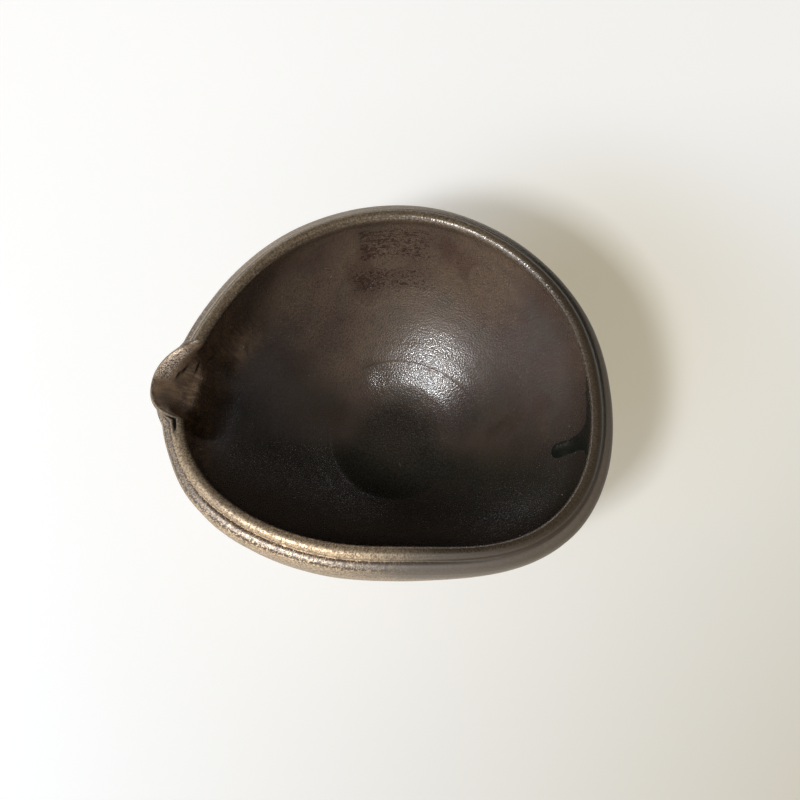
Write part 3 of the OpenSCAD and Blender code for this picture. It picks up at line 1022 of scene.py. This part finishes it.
def inside_fields(profile, around, course, shown):
    """Where the glaze inside has painted shade, a glossy patch painted as a dark reflection, eaten flecks,
    stains, coarse grain, and slits and a pocket painted black as shade.
    """
    reach, height = profile.at(course).T
    inside = shown & (course <= profile.start["crest"])
    # Painted shade: darker towards the near left, and low on the right and the left walls
    lee = sector(around, *PAINTED_SHADE_SIDE) * rise(reach, 2, 11)
    shade_low_right = 0.55 * sector(around, *PAINTED_SHADE_LOW_RIGHT) * between(reach, 14, 40, 16)
    shade_low_left = 0.6 * sector(around, *PAINTED_SHADE_LOW_LEFT) * between(reach, 15, 51, 14)
    pocket, patch = pool_fields(profile, around, course)
    off = degrees_from(around, 90)
    upper = window(off, -12.5, 12, 2) * between(height, 41, 55, 2) * (0.75 + 0.25 * ease(off / 10))
    lower = window(off, -13, 17, 8) * between(height, 30.5, 38, 3) * (0.75 + 0.25 * ease(off / 12))
    smudge = spot(around, 70, 5) * mound(height, 48, 3)
    red = spot(around, 23.5, 3.5) * mound(height, 38, 4)
    beside_floor = np.hypot(np.radians(degrees_from(around, 107)) * reach, reach - 21 * MM)
    return {
        "lee": np.maximum.reduce([lee, shade_low_right, shade_low_left]),
        "pool": 0.5 * patch,
        "fleck": inside * np.clip(upper + lower, 0, 1),
        "stain": inside * np.clip(0.5 * smudge + 0.6 * red, 0, 1),
        "coarse": inside * mound(beside_floor, 0, 2.6),
        # Painted shade: black in the slits and the pocket
        "slit": np.maximum(inside * slit_field(profile, around, course), pocket),
    }


# Materials, with noise scales in features per metre

GLAZE_IOR = 1.55
GLAZE_GLOSS = 0.8
BRONZE_METAL = 0.65
CLOUDS, LICHEN, RUSSET, THROAT_CLOUDS, WEAR = 30, 75, 70, 190, 60
GRIT, PEBBLES, DASHES, FLECKS, RIPPLES = 1900, 1900, 520, 760, 900
STREAKS, GRAINS, GLINTS = 1300, 2300, 3000


def opaque(value):
    """A colour with its alpha, or a wire or number as it is."""
    if isinstance(value, (Wire, int, float)):
        return value
    return (*value[:3], 1.0)


class Surface(Graph):
    """A material's node tree with its Principled shader."""

    def __init__(self, name):
        self.material = bpy.data.materials.new(name)
        self.material.use_nodes = True
        super().__init__(self.material.node_tree)
        self.shader = self.tree.nodes["Principled BSDF"]
        self.object_place = self.out("ShaderNodeTexCoord", None, "Object")

    def set(self, **values):
        """Sets or links the shader's inputs, with _ for a space in their names."""
        for name, value in values.items():
            self.feed(self.shader.inputs[name.replace("_", " ")], value)

    def noise(self, place, scale, detail=2.0, roughness=0.5, distortion=0.0):
        """Noise between 0 and 1."""
        inputs = {"Vector": place, "Scale": scale, "Detail": detail}
        inputs |= {"Roughness": roughness, "Distortion": distortion}
        return self.out("ShaderNodeTexNoise", inputs)

    def cells(self, place, scale):
        """Distance from the middle of scattered cells."""
        return self.out("ShaderNodeTexVoronoi", {"Vector": place, "Scale": scale}, "Distance", feature="F1")

    def stretched(self, place, scale):
        """Coordinates with a scale for each axis."""
        return self.out("ShaderNodeMapping", {"Vector": place, "Scale": scale})

    def kept(self, name, result="Fac"):
        """A value, or a vector, kept on the piece's points."""
        return self.out("ShaderNodeAttribute", None, result, attribute_name=name)

    @staticmethod
    def fade(factor, first, second):
        """A value between two others."""
        return first + factor * (second - first)

    def mix(self, factor, first, second):
        """A mix of two colours."""
        made = self.node("ShaderNodeMix", data_type="RGBA")
        for socket, value in zip((made.inputs[0], made.inputs[6], made.inputs[7]), (factor, first, second)):
            self.feed(socket, opaque(value))
        return Wire(self, made.outputs[2])

    def tinted(self, base, tint, pattern, low, high, amount=1.0):
        """A colour that takes a tint as a pattern goes from low to high."""
        return self.mix(self.ramp(pattern, low, high, 0.0, amount), base, tint)

    def stripes(self, value, stops):
        """Colours along a value, as (place, colour) stops from 0 to 1."""
        made = self.node("ShaderNodeValToRGB", {0: value})
        band = made.color_ramp
        while len(band.elements) < len(stops):
            band.elements.new(1.0)
        for element, (place, rgb) in zip(band.elements, stops):
            element.position = place
            element.color = opaque(rgb)
        return Wire(self, made.outputs[0])

    def bump(self, height, strength, distance):
        """A normal from a height, over a distance in millimetres."""
        return self.out("ShaderNodeBump", {"Height": height, "Strength": strength, "Distance": distance * MM})


def rim_stops(c, start):
    """Courses and colours of the stripes over the lip, the groove, the band and the wall."""
    edge, groove, band = start["lip_inside"], start["groove"], start["band"]
    return (
        # Painted shade under the lip's inner edge, then a thin painted highlight along the edge and a stripe
        # of painted shade on the lip's inner side
        (edge - 1.5 * MM, c.shade),
        (edge - 0.3 * MM, c.shade),
        (edge + 0.2 * MM, c.bronze),
        (edge + 0.7 * MM, c.russet_and_shade),
        (edge + 1.2 * MM, c.russet_and_shade),
        (edge + 1.7 * MM, c.bronze),
        (groove, c.bronze),
        # Painted shade in the groove
        (groove + 0.35 * MM, c.shade),
        (groove + 0.7 * MM, c.shade),
        (band + 0.5 * MM, c.mauve),
        (band + 1.5 * MM, c.mauve),
        (band + 1.9 * MM, c.shade),
        (band + 2.3 * MM, c.shade),
        (band + 2.8 * MM, c.bronze),
        (start["outside"] + 6 * MM, c.bronze),
    )


def glaze_material(profile):
    """Satin brown glaze inside that breaks to speckled bronze over the lip and the band."""
    name = "satin_bronze_glaze"
    if name in bpy.data.materials:
        return bpy.data.materials[name]
    c = settings().colours
    s = Surface(name)
    place = s.object_place
    ring = s.kept("ring", "Vector")
    fields = ("course", "bronze", "spout", "gilt", "lee", "pool", "slit")
    course, bronze, spout, gilt, lee, pooled, slit = (s.kept(field) for field in fields)

    # Wall
    heel = profile.start["heel"]
    shifted = s.out("ShaderNodeVectorMath", {0: place, 1: (0.3, 0.1, 0.2)})
    grit = s.noise(place, GRIT, 2, 0.6)
    dashes = s.noise(s.stretched(ring, (1.0, 1.0, 2.6)), DASHES, 3, 0.7)
    wall = s.tinted(c.plum, c.umber, s.noise(place, CLOUDS, 3, 0.55), 0.36, 0.64)
    wall = s.tinted(wall, c.lichen, s.noise(place, LICHEN, 2, 0.5, 0.4), 0.52, 0.66, 0.4)
    # The floor painted darker: pooled glaze, and painted shade for the rim's shadow
    wall = s.mix(s.ramp(course, heel - 12 * MM, heel + 1 * MM, 1.0, 0.0), wall, c.pooled_floor_and_shade)
    wall = s.tinted(wall, c.russet_wall, s.noise(shifted, RUSSET, 2, 0.5, 0.4), 0.54, 0.68, 0.5)
    # Painted shade: olive black towards the near left and low on the walls
    wall = s.mix(lee, wall, c.painted_shade_olive)
    wall = s.tinted(wall, c.dusk, grit, 0.42, 0.66, 0.6)
    wall = s.tinted(wall, c.rust, dashes, 0.56, 0.7, 0.6)
    # Where the lip and the band aren't bronze: a dull brown that is painted shade, or a pale colour that is a
    # painted reflection
    wall = s.mix(s.kept("lip"), wall, s.mix(s.kept("band"), c.peat_and_shade, c.bark_and_reflection))
    streaks = s.noise(s.stretched(ring, (1.0, 1.0, 0.16)), STREAKS, 2, 0.6)
    # Painted light in the spout's inside and on the wall below it, with darker drawn streaks
    throat = s.tinted(c.trough_painted_light, c.peat_and_shade, streaks, 0.4, 0.62, 0.6)
    throat = s.tinted(throat, c.russet_wall, s.noise(place, THROAT_CLOUDS), 0.46, 0.6, 0.55)
    wall = s.mix(spout, wall, throat)

    # Rim
    stops = rim_stops(c, profile.start)
    first, last = stops[0][0], stops[-1][0]
    along = s.ramp(course, first, last, smooth=False)
    rim = s.stripes(along, [((stop - first) / (last - first), rgb) for stop, rgb in stops])
    rim = s.mix(spout, rim, s.tinted(c.shade, c.russet_and_shade, streaks, 0.4, 0.62))
    # Rosy gold speckle, partly a painted highlight, on the spout's far flank
    rim = s.mix(gilt * s.ramp(s.noise(place, GLINTS, 1), 0.42, 0.56, 0.1, 1.0), rim, c.blush_and_highlight)
    grains = s.noise(s.stretched(ring, (1.0, 1.0, 0.75)), GRAINS, 1, 0.5, 0.8)
    rim = s.mix(s.ramp(grains, 0.36, 0.5, 0.7, 0.0), rim, c.shade)
    rim = s.mix(s.ramp(grains, 0.53, 0.64, 0.0, 0.85) * (1.0 - spout), rim, c.gold)

    # Flecks, stains, a glossy patch painted as a dark reflection, and slits and a pocket painted black as
    # shade, over both
    flecks = s.noise(s.stretched(ring, (1.0, 1.0, 1.7)), FLECKS, 3, 0.65, 0.6)
    eaten = s.ramp(flecks + s.kept("fleck") * 0.25, 0.73, 0.745)
    base = s.mix(bronze, wall, rim)
    over = ((eaten * 0.8, c.rust), (s.kept("stain") * 0.5, c.rust), (pooled, c.pool), (slit, c.slit))
    for amount, tint in over:
        base = s.mix(amount, base, tint)

    # Roughness and grain
    crest = profile.start["crest"]
    outer = s.ramp(course, crest, crest + 1.5 * MM)
    worn = s.ramp(s.noise(place, WEAR, 3, 0.6), 0.3, 0.7, -0.02, 0.04)
    rough_wall = s.fade(outer, s.ramp(grit, 0.4, 0.6, 0.19, 0.36) + worn, 0.5)
    rough_rim = s.ramp(grains, 0.3, 0.7, 0.55, 0.42) - 0.17 * s.kept("sleek") * (1.0 - outer)
    rough = s.fade(bronze, rough_wall, rough_rim)
    rough = s.fade(slit, s.fade(pooled, rough, 0.16), 0.75)
    grain = s.fade(bronze, s.cells(place, PEBBLES), 0.8 * grains)
    height = grain * (1.0 + 2.0 * s.kept("coarse") + 1.2 * gilt - 0.85 * lee)
    height = height + 0.3 * s.noise(place, RIPPLES) - 0.5 * eaten
    s.set(
        Base_Color=base,
        Roughness=rough,
        Metallic=s.math("MAXIMUM", bronze * BRONZE_METAL * (1.0 - pooled), slit),
        Normal=s.bump(height, 1.0, 0.07),
        IOR=GLAZE_IOR,
        Specular_IOR_Level=GLAZE_GLOSS,
    )
    return s.material


def clay_material():
    """Bare gritty stoneware."""
    name = "bare_clay"
    if name in bpy.data.materials:
        return bpy.data.materials[name]
    c = settings().colours
    s = Surface(name)
    place = s.object_place
    base = s.tinted(c.toast, c.clay, s.noise(place, 45, 3, 0.6), 0.35, 0.65)
    base = s.tinted(base, c.grit, s.noise(place, 1500, 2, 0.6), 0.58, 0.68, 0.8)
    base = s.tinted(base, c.sand, s.noise(place, 900, 1, 0.5), 0.70, 0.76, 0.5)
    s.set(Base_Color=base, Roughness=0.82, Normal=s.bump(s.noise(place, 900, 4, 0.65), 0.5, 0.25))
    return s.material


def black_material():
    """Gloss black glaze of the run."""
    c = settings().colours
    s = Surface("black_run")
    place = s.object_place
    s.set(
        Base_Color=s.tinted(c.black, c.warm_black, s.noise(place, 220), 0.4, 0.65),
        Roughness=s.ramp(s.noise(place, 300), 0.3, 0.7, 0.18, 0.3),
        Normal=s.bump(s.noise(place, 500), 0.08, 0.25),
        IOR=GLAZE_IOR,
    )
    return s.material


def bead_material():
    """Pale grains and burst bubbles on the glaze."""
    c = settings().colours
    s = Surface("pale_beads")
    base = s.tinted(c.dull_bead, c.pale_bead, s.noise(s.object_place, 600, 1), 0.4, 0.6)
    s.set(Base_Color=base, Roughness=0.35)
    return s.material


# Pieces

AROUND_COAT = 480
AROUND_CLAY = 240
CROWDING = 0.55
BACK_ROWS = 7
SHARP_ANGLE = math.radians(50)
# Course of points that lie against another piece: just under 0, which marks them as hidden
HIDDEN = -1e-6


def check_outwards(obj):
    """Stops if a closed piece is inside out."""
    mesh = obj.data
    points = mesh_points(mesh)
    mesh.calc_loop_triangles()
    corners = np.empty(len(mesh.loop_triangles) * 3, np.int32)
    mesh.loop_triangles.foreach_get("vertices", corners)
    a, b, c = points[corners.reshape(-1, 3)].transpose(1, 0, 2)
    if np.einsum("ij,ij->i", a, np.cross(b, c)).sum() <= 0:
        raise RuntimeError(f"{obj.name} is inside out")


def hand_in(obj, slot, *nodes):
    """Ends a piece: it rides on the body and stands for its CAD nodes; the slot is not used."""
    check_outwards(obj)
    obj.data.set_sharp_from_angle(angle=SHARP_ANGLE)
    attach(obj, BODY)
    if nodes:
        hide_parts(*nodes)


def coat_piece(name, profile, rows, ring, relief, shift=None):
    """A glaze coat: its shown face, a coarser face against the clay, and what its material reads."""
    back = rows[::-BACK_ROWS]
    if back[-1] != rows[0]:
        back = np.append(back, rows[0])
    points = [*profile.at(rows), *profile.at(back, profile.coat)]
    courses = [*rows, *np.minimum(-back, HIDDEN)]
    if ring:
        points.append(points[0])
        courses.append(courses[0])
    else:
        points[0][0] = 0
        points[-1][0] = 0
    obj = loft(name, points, courses, AROUND_COAT, CROWDING, glaze_material(profile))
    around, course, shown = press_marks(obj, profile, relief, shift)
    fields = rim_fields(profile, around, course) | inside_fields(profile, around, course, shown)
    for field, values in fields.items():
        store(obj.data, field, values)
    return obj


class KATAKUCHI_OT_inner_coat(bpy.types.Operator):
    """Makes the satin coat inside, up to the crest of the lip"""

    bl_idname = "katakuchi.inner_coat"
    bl_label = "Inner coat"

    def execute(self, context):
        profile = Profile(settings())
        stops = ("floor", 0.9, "heel", 0.36, "wall", 0.85, "throat", 0.3, "lip_inside", 0.12, "crest")
        rows = profile.rows(*stops)
        obj = coat_piece("inner_coat", profile, rows, False, inside_relief)
        hand_in(obj, "inner_glaze", "inner_glaze")
        return {"FINISHED"}


class KATAKUCHI_OT_outer_coat(bpy.types.Operator):
    """Makes the bronze coat outside, from the crest of the lip to the glaze line"""

    bl_idname = "katakuchi.outer_coat"
    bl_label = "Outer coat"

    HEM = 2 * MM
    HEM_ROWS = 14

    def execute(self, context):
        profile = Profile(settings())
        rows = profile.rows("crest", 0.12, "groove", 0.17, "outside", 0.8, "bare")
        hem = profile.start["bare"]
        rows = np.concatenate([rows[rows < hem - self.HEM], np.linspace(hem - self.HEM, hem, self.HEM_ROWS)])
        obj = coat_piece("outer_coat", profile, rows, True, outside_relief, hem_shift)
        hand_in(obj, "outer_glaze", "outer_glaze")
        return {"FINISHED"}


class KATAKUCHI_OT_clay(bpy.types.Operator):
    """Makes the thrown clay wall with its pulled lip, and the band laid on it"""

    bl_idname = "katakuchi.clay"
    bl_label = "Clay wall and band"

    UNDER_ROWS = 40

    def execute(self, context):
        s = settings()
        profile = Profile(s)
        clay = clay_material()
        inner = profile.rows("floor", 3, "heel", 2, "wall", 2.5, "throat", 1, "lip_inside", 0.5, "groove")
        outer = profile.rows("outside", 2.5, "bare", 0.3, "root")
        ledge_reach = s.bowl.rim_reach + s.bowl.belly_out + s.bowl.coat + s.rim.neck
        ledge = (ledge_reach, profile.at(profile.start["outside"], profile.coat)[1])
        points = [*profile.at(inner, profile.coat), ledge, *profile.at(outer, profile.coat)]
        courses = [*np.minimum(-inner, HIDDEN), -profile.start["outside"], *outer]
        points[0][0] = 0
        points += [(reach, s.foot.height) for reach in np.linspace(s.foot.reach, 0, self.UNDER_ROWS)]
        courses += [-profile.start["root"]] * self.UNDER_ROWS
        wall = loft("thrown_wall", points, courses, AROUND_CLAY, CROWDING, clay)
        press_marks(wall, profile, trimming_relief)
        hand_in(wall, "clay", "bowl_body", "pouring_lip")

        rows = profile.rows("groove", 0.5, "outside")
        points = [*profile.at(rows, profile.coat), ledge]
        points.append(points[0])
        courses = [*-rows, -rows[-1], -rows[0]]
        band = loft("clay_band", points, courses, AROUND_CLAY, CROWDING, clay)
        press_marks(band, profile, trimming_relief)
        hand_in(band, "clay", "rim_band")
        return {"FINISHED"}


class KATAKUCHI_OT_foot_ring(bpy.types.Operator):
    """Makes the trimmed foot ring"""

    bl_idname = "katakuchi.foot_ring"
    bl_label = "Foot ring"

    ROWS = 110
    ROUNDING = 2.0
    RING = 0.06 * MM
    RING_PITCH = 1.5 * MM
    SWELL = 0.12 * MM

    def execute(self, context):
        foot = settings().foot
        inner = foot.reach - foot.width
        corners = np.array(
            [
                (foot.reach, foot.height),
                (foot.reach - foot.taper, foot.chamfer),
                (foot.reach - foot.taper - foot.chamfer, 0),
                (inner + foot.taper + foot.chamfer, 0),
                (inner + foot.taper, foot.chamfer),
                (inner, foot.height),
                (foot.reach, foot.height),
            ]
        )
        along = arc_length(corners)
        even = np.linspace(0, along[-1], self.ROWS)
        line = interpolated(even, along, corners)
        on_side = even < along[5]
        line[on_side] = rounded(line[on_side], self.ROUNDING)
        line[-1] = line[0]
        ring = loft("foot_ring_turned", line, [HIDDEN] * len(line), AROUND_CLAY, 0.0, clay_material())
        points = mesh_points(ring.data)
        around = np.arctan2(points[:, 1], points[:, 0])
        free = window(points[:, 2], 0.6 * MM, foot.height - 0.6 * MM, 0.8 * MM)
        relief = self.RING * np.sin(math.tau * points[:, 2] / self.RING_PITCH + around) * free
        relief += self.SWELL * swell(points, 7, 5.5) * free
        points[:, 0] += relief * np.cos(around)
        points[:, 1] += relief * np.sin(around)
        move_points(ring.data, points)
        hand_in(ring, "clay", "foot_ring")
        return {"FINISHED"}


def run_height(around, down):
    """Height of the black run over the coat, at lengths down the wall from the lip's edge."""
    s = settings()
    run = s.run
    side = (around - run.bearing) * s.bowl.rim_reach
    reach = np.where(side > 0, run.far_width, run.near_width)
    beside = np.clip(np.abs(side) / reach, 0, 1)
    curtain_end = run.edge + (run.shoulder - run.edge) * (1 - beside) ** 2
    inside_curtain = np.clip(1 - (down / curtain_end) ** 4, 0, 1) * ease((1 - beside) / 0.2)
    curtain = 0.5 * run.thickness * np.sqrt(inside_curtain) * rise(down, 0, 1.5)
    axis = side - run.lean * (down - run.shoulder)
    half = run.tongue_width / 2
    waist = 1 + 0.5 * rise(run.shoulder - down, -2, 6) - 0.14 * mound(down, 27, 2.5)
    end = run.tongue_length - half
    past = np.maximum(down - end, 0) + np.maximum(8 * MM - down, 0)
    inside_tongue = np.clip(1 - (axis / (half * waist)) ** 2 - (past / half) ** 2, 0, 1)
    swollen = 0.62 + 0.38 * mound(down - end, 0, 4)
    tongue = run.thickness * swollen * np.sqrt(inside_tongue)
    both = np.maximum(curtain, tongue) + 0.12 * run.thickness * hump((curtain - tongue) / run.thickness, 0.3)
    held = (inside_curtain > 0) | (inside_tongue > 0)
    return np.where(held, both, 0) - 0.06 * MM


def plated_mesh(name, top, under, wanted):
    """A closed plate over the cells of a grid that have a wanted corner."""
    columns, rows = wanted.shape
    cells = wanted[:-1, :-1] | wanted[1:, :-1] | wanted[1:, 1:] | wanted[:-1, 1:]
    number_of = np.arange(columns * rows).reshape(columns, rows)
    offset = columns * rows
    faces = []
    filled = np.pad(cells, 1)
    for i, j in np.argwhere(cells):
        a, b, c, d = number_of[i, j], number_of[i + 1, j], number_of[i + 1, j + 1], number_of[i, j + 1]
        faces.append((a, b, c, d))
        faces.append((d + offset, c + offset, b + offset, a + offset))
        sides = (
            (filled[i + 1, j], b, a),
            (filled[i + 2, j + 1], c, b),
            (filled[i + 1, j + 2], d, c),
            (filled[i, j + 1], a, d),
        )
        for neighbour, first, second in sides:
            if not neighbour:
                faces.append((first, second, second + offset, first + offset))
    points = np.concatenate([top.reshape(-1, 3), under.reshape(-1, 3)])
    used = np.unique(np.array([corner for face in faces for corner in face]))
    renumber = np.zeros(len(points), int)
    renumber[used] = np.arange(len(used))
    mesh = bpy.data.meshes.new(name)
    mesh.from_pydata(points[used].tolist(), [], [tuple(renumber[list(face)]) for face in faces])
    mesh.validate()
    mesh.polygons.foreach_set("use_smooth", np.ones(len(mesh.polygons), bool))
    return mesh


class KATAKUCHI_OT_glaze_run(bpy.types.Operator):
    """Makes the thick black run that hangs inside the lip"""

    bl_idname = "katakuchi.glaze_run"
    bl_label = "Glaze run"

    STEP = 0.3 * MM
    SUNK = 0.28 * MM
    MARGIN = 1 * MM

    def execute(self, context):
        s = settings()
        run = s.run
        profile = Profile(s)
        low = run.bearing - (run.near_width + self.MARGIN) / s.bowl.rim_reach
        high = run.bearing + (run.far_width + self.MARGIN) / s.bowl.rim_reach
        columns = np.linspace(low, high, int((high - low) * s.bowl.rim_reach / self.STEP))
        downs = np.linspace(0, run.tongue_length + self.MARGIN, int(run.tongue_length / self.STEP))
        around, down = np.meshgrid(columns, downs, indexing="ij")
        course = profile.start["lip_inside"] - down
        base = profile.at(course)
        ideal = placed(around, base[..., 0], base[..., 1])
        out = turned(profile.read(profile.normals, course), around)
        coat = inside_relief(profile, around.ravel() % math.tau, course.ravel(), ideal.reshape(-1, 3))
        coat = coat.reshape(course.shape)
        height = run_height(around, down)
        top = ideal + (coat + height)[..., None] * out
        under = ideal + (coat - self.SUNK)[..., None] * out
        mesh = plated_mesh("glaze_run_drop", top, under, height > 0)
        obj = new_object("glaze_run_drop", mesh)
        mesh.materials.append(black_material())
        hand_in(obj, "black_glaze", "glaze_run")
        return {"FINISHED"}


def bead_tree():
    """Scatters small beads over a surface."""
    inputs = {"Density": "Float", "Radius": "Float", "Seed": "Int", "Material": "Material"}
    t = NodesTree("Scattered beads", inputs)
    given = t.given
    points = t.out(
        "GeometryNodeDistributePointsOnFaces",
        {"Mesh": given["Geometry"], "Density": given["Density"], "Seed": given["Seed"]},
        distribute_method="RANDOM",
    )
    ball = t.out("GeometryNodeMeshIcoSphere", {"Radius": given["Radius"], "Subdivisions": 2})
    sizes = {"Min": 0.45, "Max": 1.3, "Seed": given["Seed"]}
    size = t.out("FunctionNodeRandomValue", sizes, data_type="FLOAT")
    beads = t.out("GeometryNodeInstanceOnPoints", {"Points": points, "Instance": ball, "Scale": size})
    t.finish(t.out("GeometryNodeSetShadeSmooth", {"Geometry": beads}))
    return t.tree


class KATAKUCHI_OT_beads(bpy.types.Operator):
    """Scatters pale grains and burst bubbles over the inner coat"""

    bl_idname = "katakuchi.beads"
    bl_label = "Beads in the glaze"

    RADIUS = 0.13 * MM

    def execute(self, context):
        s = settings()
        coat = bpy.data.objects["inner_coat"].data
        course = mesh_floats(coat, "course")
        profile = Profile(s)
        shown = (course >= profile.start["wall"]) & (course < profile.start["throat"])
        faces = [tuple(f.vertices) for f in coat.polygons if all(shown[v] for v in f.vertices)]
        field = bpy.data.meshes.new("glaze_beads")
        field.from_pydata([tuple(v.co) for v in coat.vertices], [], faces)
        area = sum(f.area for f in field.polygons)
        obj = new_object("glaze_beads", field)
        inputs = {
            "Density": s.marks.beads / area,
            "Radius": self.RADIUS,
            "Seed": s.marks.seed,
            "Material": bead_material(),
        }
        settle(obj, bead_tree(), inputs)
        hand_in(obj, "inner_glaze")
        return {"FINISHED"}


# Stage

def direction(around, elevation):
    """A unit vector at a bearing and a height over the table."""
    flat = math.cos(elevation)
    return Vector((flat * math.cos(around), flat * math.sin(around), math.sin(elevation)))


def set_facing(obj, target, away, distance):
    """Puts a lamp or camera at a distance from a target, facing it, into the scene."""
    obj.location = target + away * distance
    obj.rotation_euler = away.to_track_quat("Z", "Y").to_euler()
    bpy.context.scene.collection.objects.link(obj)


class KATAKUCHI_OT_studio(bpy.types.Operator):
    """Makes the pale table, the soft light, the room and the camera"""

    bl_idname = "katakuchi.studio"
    bl_label = "Studio"

    TABLE_SIDE = 6.0
    TABLE_ROUGHNESS = 0.75
    SHADOW_CORE = 0.2
    PANEL_CORE = 0.35
    CLIP_START = 0.01

    def execute(self, context):
        studio = settings().studio
        self.make_table(studio)
        self.make_light(studio)
        self.make_room(studio)
        self.make_camera(studio)
        context.scene.view_settings.view_transform = "Standard"
        return {"FINISHED"}

    def make_table(self, studio):
        """Makes the table, with a paleness that only the camera, reflections and glass see: painted light
        that fades towards the near right, with a warm fill painted into the bowl's shadow.
        """
        half = self.TABLE_SIDE / 2
        corners = [(-half, -half, 0), (half, -half, 0), (half, half, 0), (-half, half, 0)]
        mesh = bpy.data.meshes.new("table")
        mesh.from_pydata(corners, [], [(0, 1, 2, 3)])
        table = new_object("table", mesh)
        s = Surface("pale_table")
        across, along = (s.out("ShaderNodeSeparateXYZ", {0: s.object_place}, axis) for axis in "XY")
        # Painted light across the table, and a warm fill painted into the bowl's shadow
        rightwards = s.ramp(across, -studio.glow_reach, studio.glow_reach, smooth=False)
        farther = s.ramp(along, -studio.glow_reach, studio.glow_reach, smooth=False)
        near = s.mix(rightwards, studio.painted_light_near_left, studio.painted_light_near_right)
        far = s.mix(rightwards, studio.painted_light_far_left, studio.painted_light_far_right)
        painted_table_light = s.mix(farther, near, far)
        middle = {0: s.object_place, 1: tuple(studio.shadow_middle)}
        from_shadow = s.out("ShaderNodeVectorMath", middle, "Value", operation="DISTANCE")
        shadow_fill_weight = s.ramp(from_shadow, self.SHADOW_CORE * studio.shadow_reach, studio.shadow_reach, 1.0, 0.0)
        rays = ("Is Camera Ray", "Is Glossy Ray", "Is Transmission Ray")
        camera, glossy, through = (s.out("ShaderNodeLightPath", None, ray) for ray in rays)
        s.set(
            Base_Color=opaque(studio.table),
            Roughness=self.TABLE_ROUGHNESS,
            Emission_Color=s.mix(shadow_fill_weight, painted_table_light, studio.painted_shadow_fill),
            Emission_Strength=s.math("MAXIMUM", s.math("MAXIMUM", camera, glossy), through),
        )
        mesh.materials.append(s.material)

    def make_light(self, studio):
        """Hangs the lamp of the near window."""
        lamp = bpy.data.lights.new("window", "AREA")
        lamp.shape = "SQUARE"
        lamp.size = studio.light_width
        lamp.energy = studio.light_power
        lamp.color = studio.light_colour
        away = direction(studio.light_bearing, studio.light_elevation)
        set_facing(bpy.data.objects.new("window", lamp), Vector(), away, studio.light_distance)

    def make_room(self, studio):
        """Lights the room from its wide windows, its pale wall and its dim side."""
        world = bpy.data.worlds.new("room")
        world.use_nodes = True
        g = Graph(world.node_tree)
        towards = g.out("ShaderNodeTexCoord", None, "Generated")
        up = g.out("ShaderNodeSeparateXYZ", {0: towards}, "Z")

        def panel(middle, spread, top, strength):
            ahead = direction(middle, 0)
            facing = g.out("ShaderNodeVectorMath", {0: towards, 1: ahead}, "Value", operation="DOT_PRODUCT")
            below_top = g.ramp(up, self.PANEL_CORE * math.sin(top), math.sin(top), 1.0, 0.0)
            return strength * g.ramp(facing, math.cos(spread), math.cos(spread / 3)) * below_top

        windows = panel(studio.sky_bearing, studio.sky_spread, studio.sky_top, studio.sky)
        wall = panel(studio.wall_bearing, studio.wall_spread, studio.wall_top, studio.wall)
        door = panel(studio.door_bearing, studio.door_spread, studio.door_top, studio.door)
        bright = windows + wall
        dim = door + studio.room
        tints = zip("XYZ", studio.daylight, studio.lamplight)
        light = g.out("ShaderNodeCombineXYZ", {axis: day * bright + warm * dim for axis, day, warm in tints})
        g.feed(world.node_tree.nodes["Background"].inputs["Color"], light)
        bpy.context.scene.world = world

    def make_camera(self, studio):
        """Sets up the camera."""
        lens = bpy.data.cameras.new("view")
        lens.lens = studio.lens
        lens.clip_start = self.CLIP_START
        camera = bpy.data.objects.new("view", lens)
        away = direction(-math.pi / 2, studio.elevation)
        set_facing(camera, Vector(studio.target), away, studio.distance)
        bpy.context.scene.camera = camera


class KATAKUCHI_PT_sidebar(bpy.types.Panel):
    """Lists the pieces in the order they are made"""

    bl_idname = "KATAKUCHI_PT_sidebar"
    bl_label = "Katakuchi"
    bl_space_type = "VIEW_3D"
    bl_region_type = "UI"
    bl_category = "Katakuchi"

    def draw(self, context):
        for operator in PIECES:
            self.layout.operator(operator.bl_idname)


GROUPS = (
    BowlSizes,
    SqueezeSizes,
    RimSizes,
    SpoutSizes,
    FootSizes,
    RunSizes,
    HandMarks,
    GlazeColours,
    StudioSizes,
    KatakuchiSettings,
)
PIECES = (
    KATAKUCHI_OT_clay,
    KATAKUCHI_OT_foot_ring,
    KATAKUCHI_OT_inner_coat,
    KATAKUCHI_OT_outer_coat,
    KATAKUCHI_OT_glaze_run,
    KATAKUCHI_OT_beads,
    KATAKUCHI_OT_studio,
)
CLASSES = (*GROUPS, *PIECES, KATAKUCHI_PT_sidebar)


def register():
    """Registers the settings, the pieces and the panel."""
    for cls in CLASSES:
        bpy.utils.register_class(cls)
    bpy.types.Scene.katakuchi = PointerProperty(type=KatakuchiSettings)


def unregister():
    """Takes them away again."""
    del bpy.types.Scene.katakuchi
    for cls in reversed(CLASSES):
        bpy.utils.unregister_class(cls)


def main():
    """Makes every piece and the stage."""
    register()
    for operator in PIECES:
        group, name = operator.bl_idname.split(".")
        getattr(getattr(bpy.ops, group), name)()


if __name__ == "__main__":
    main()
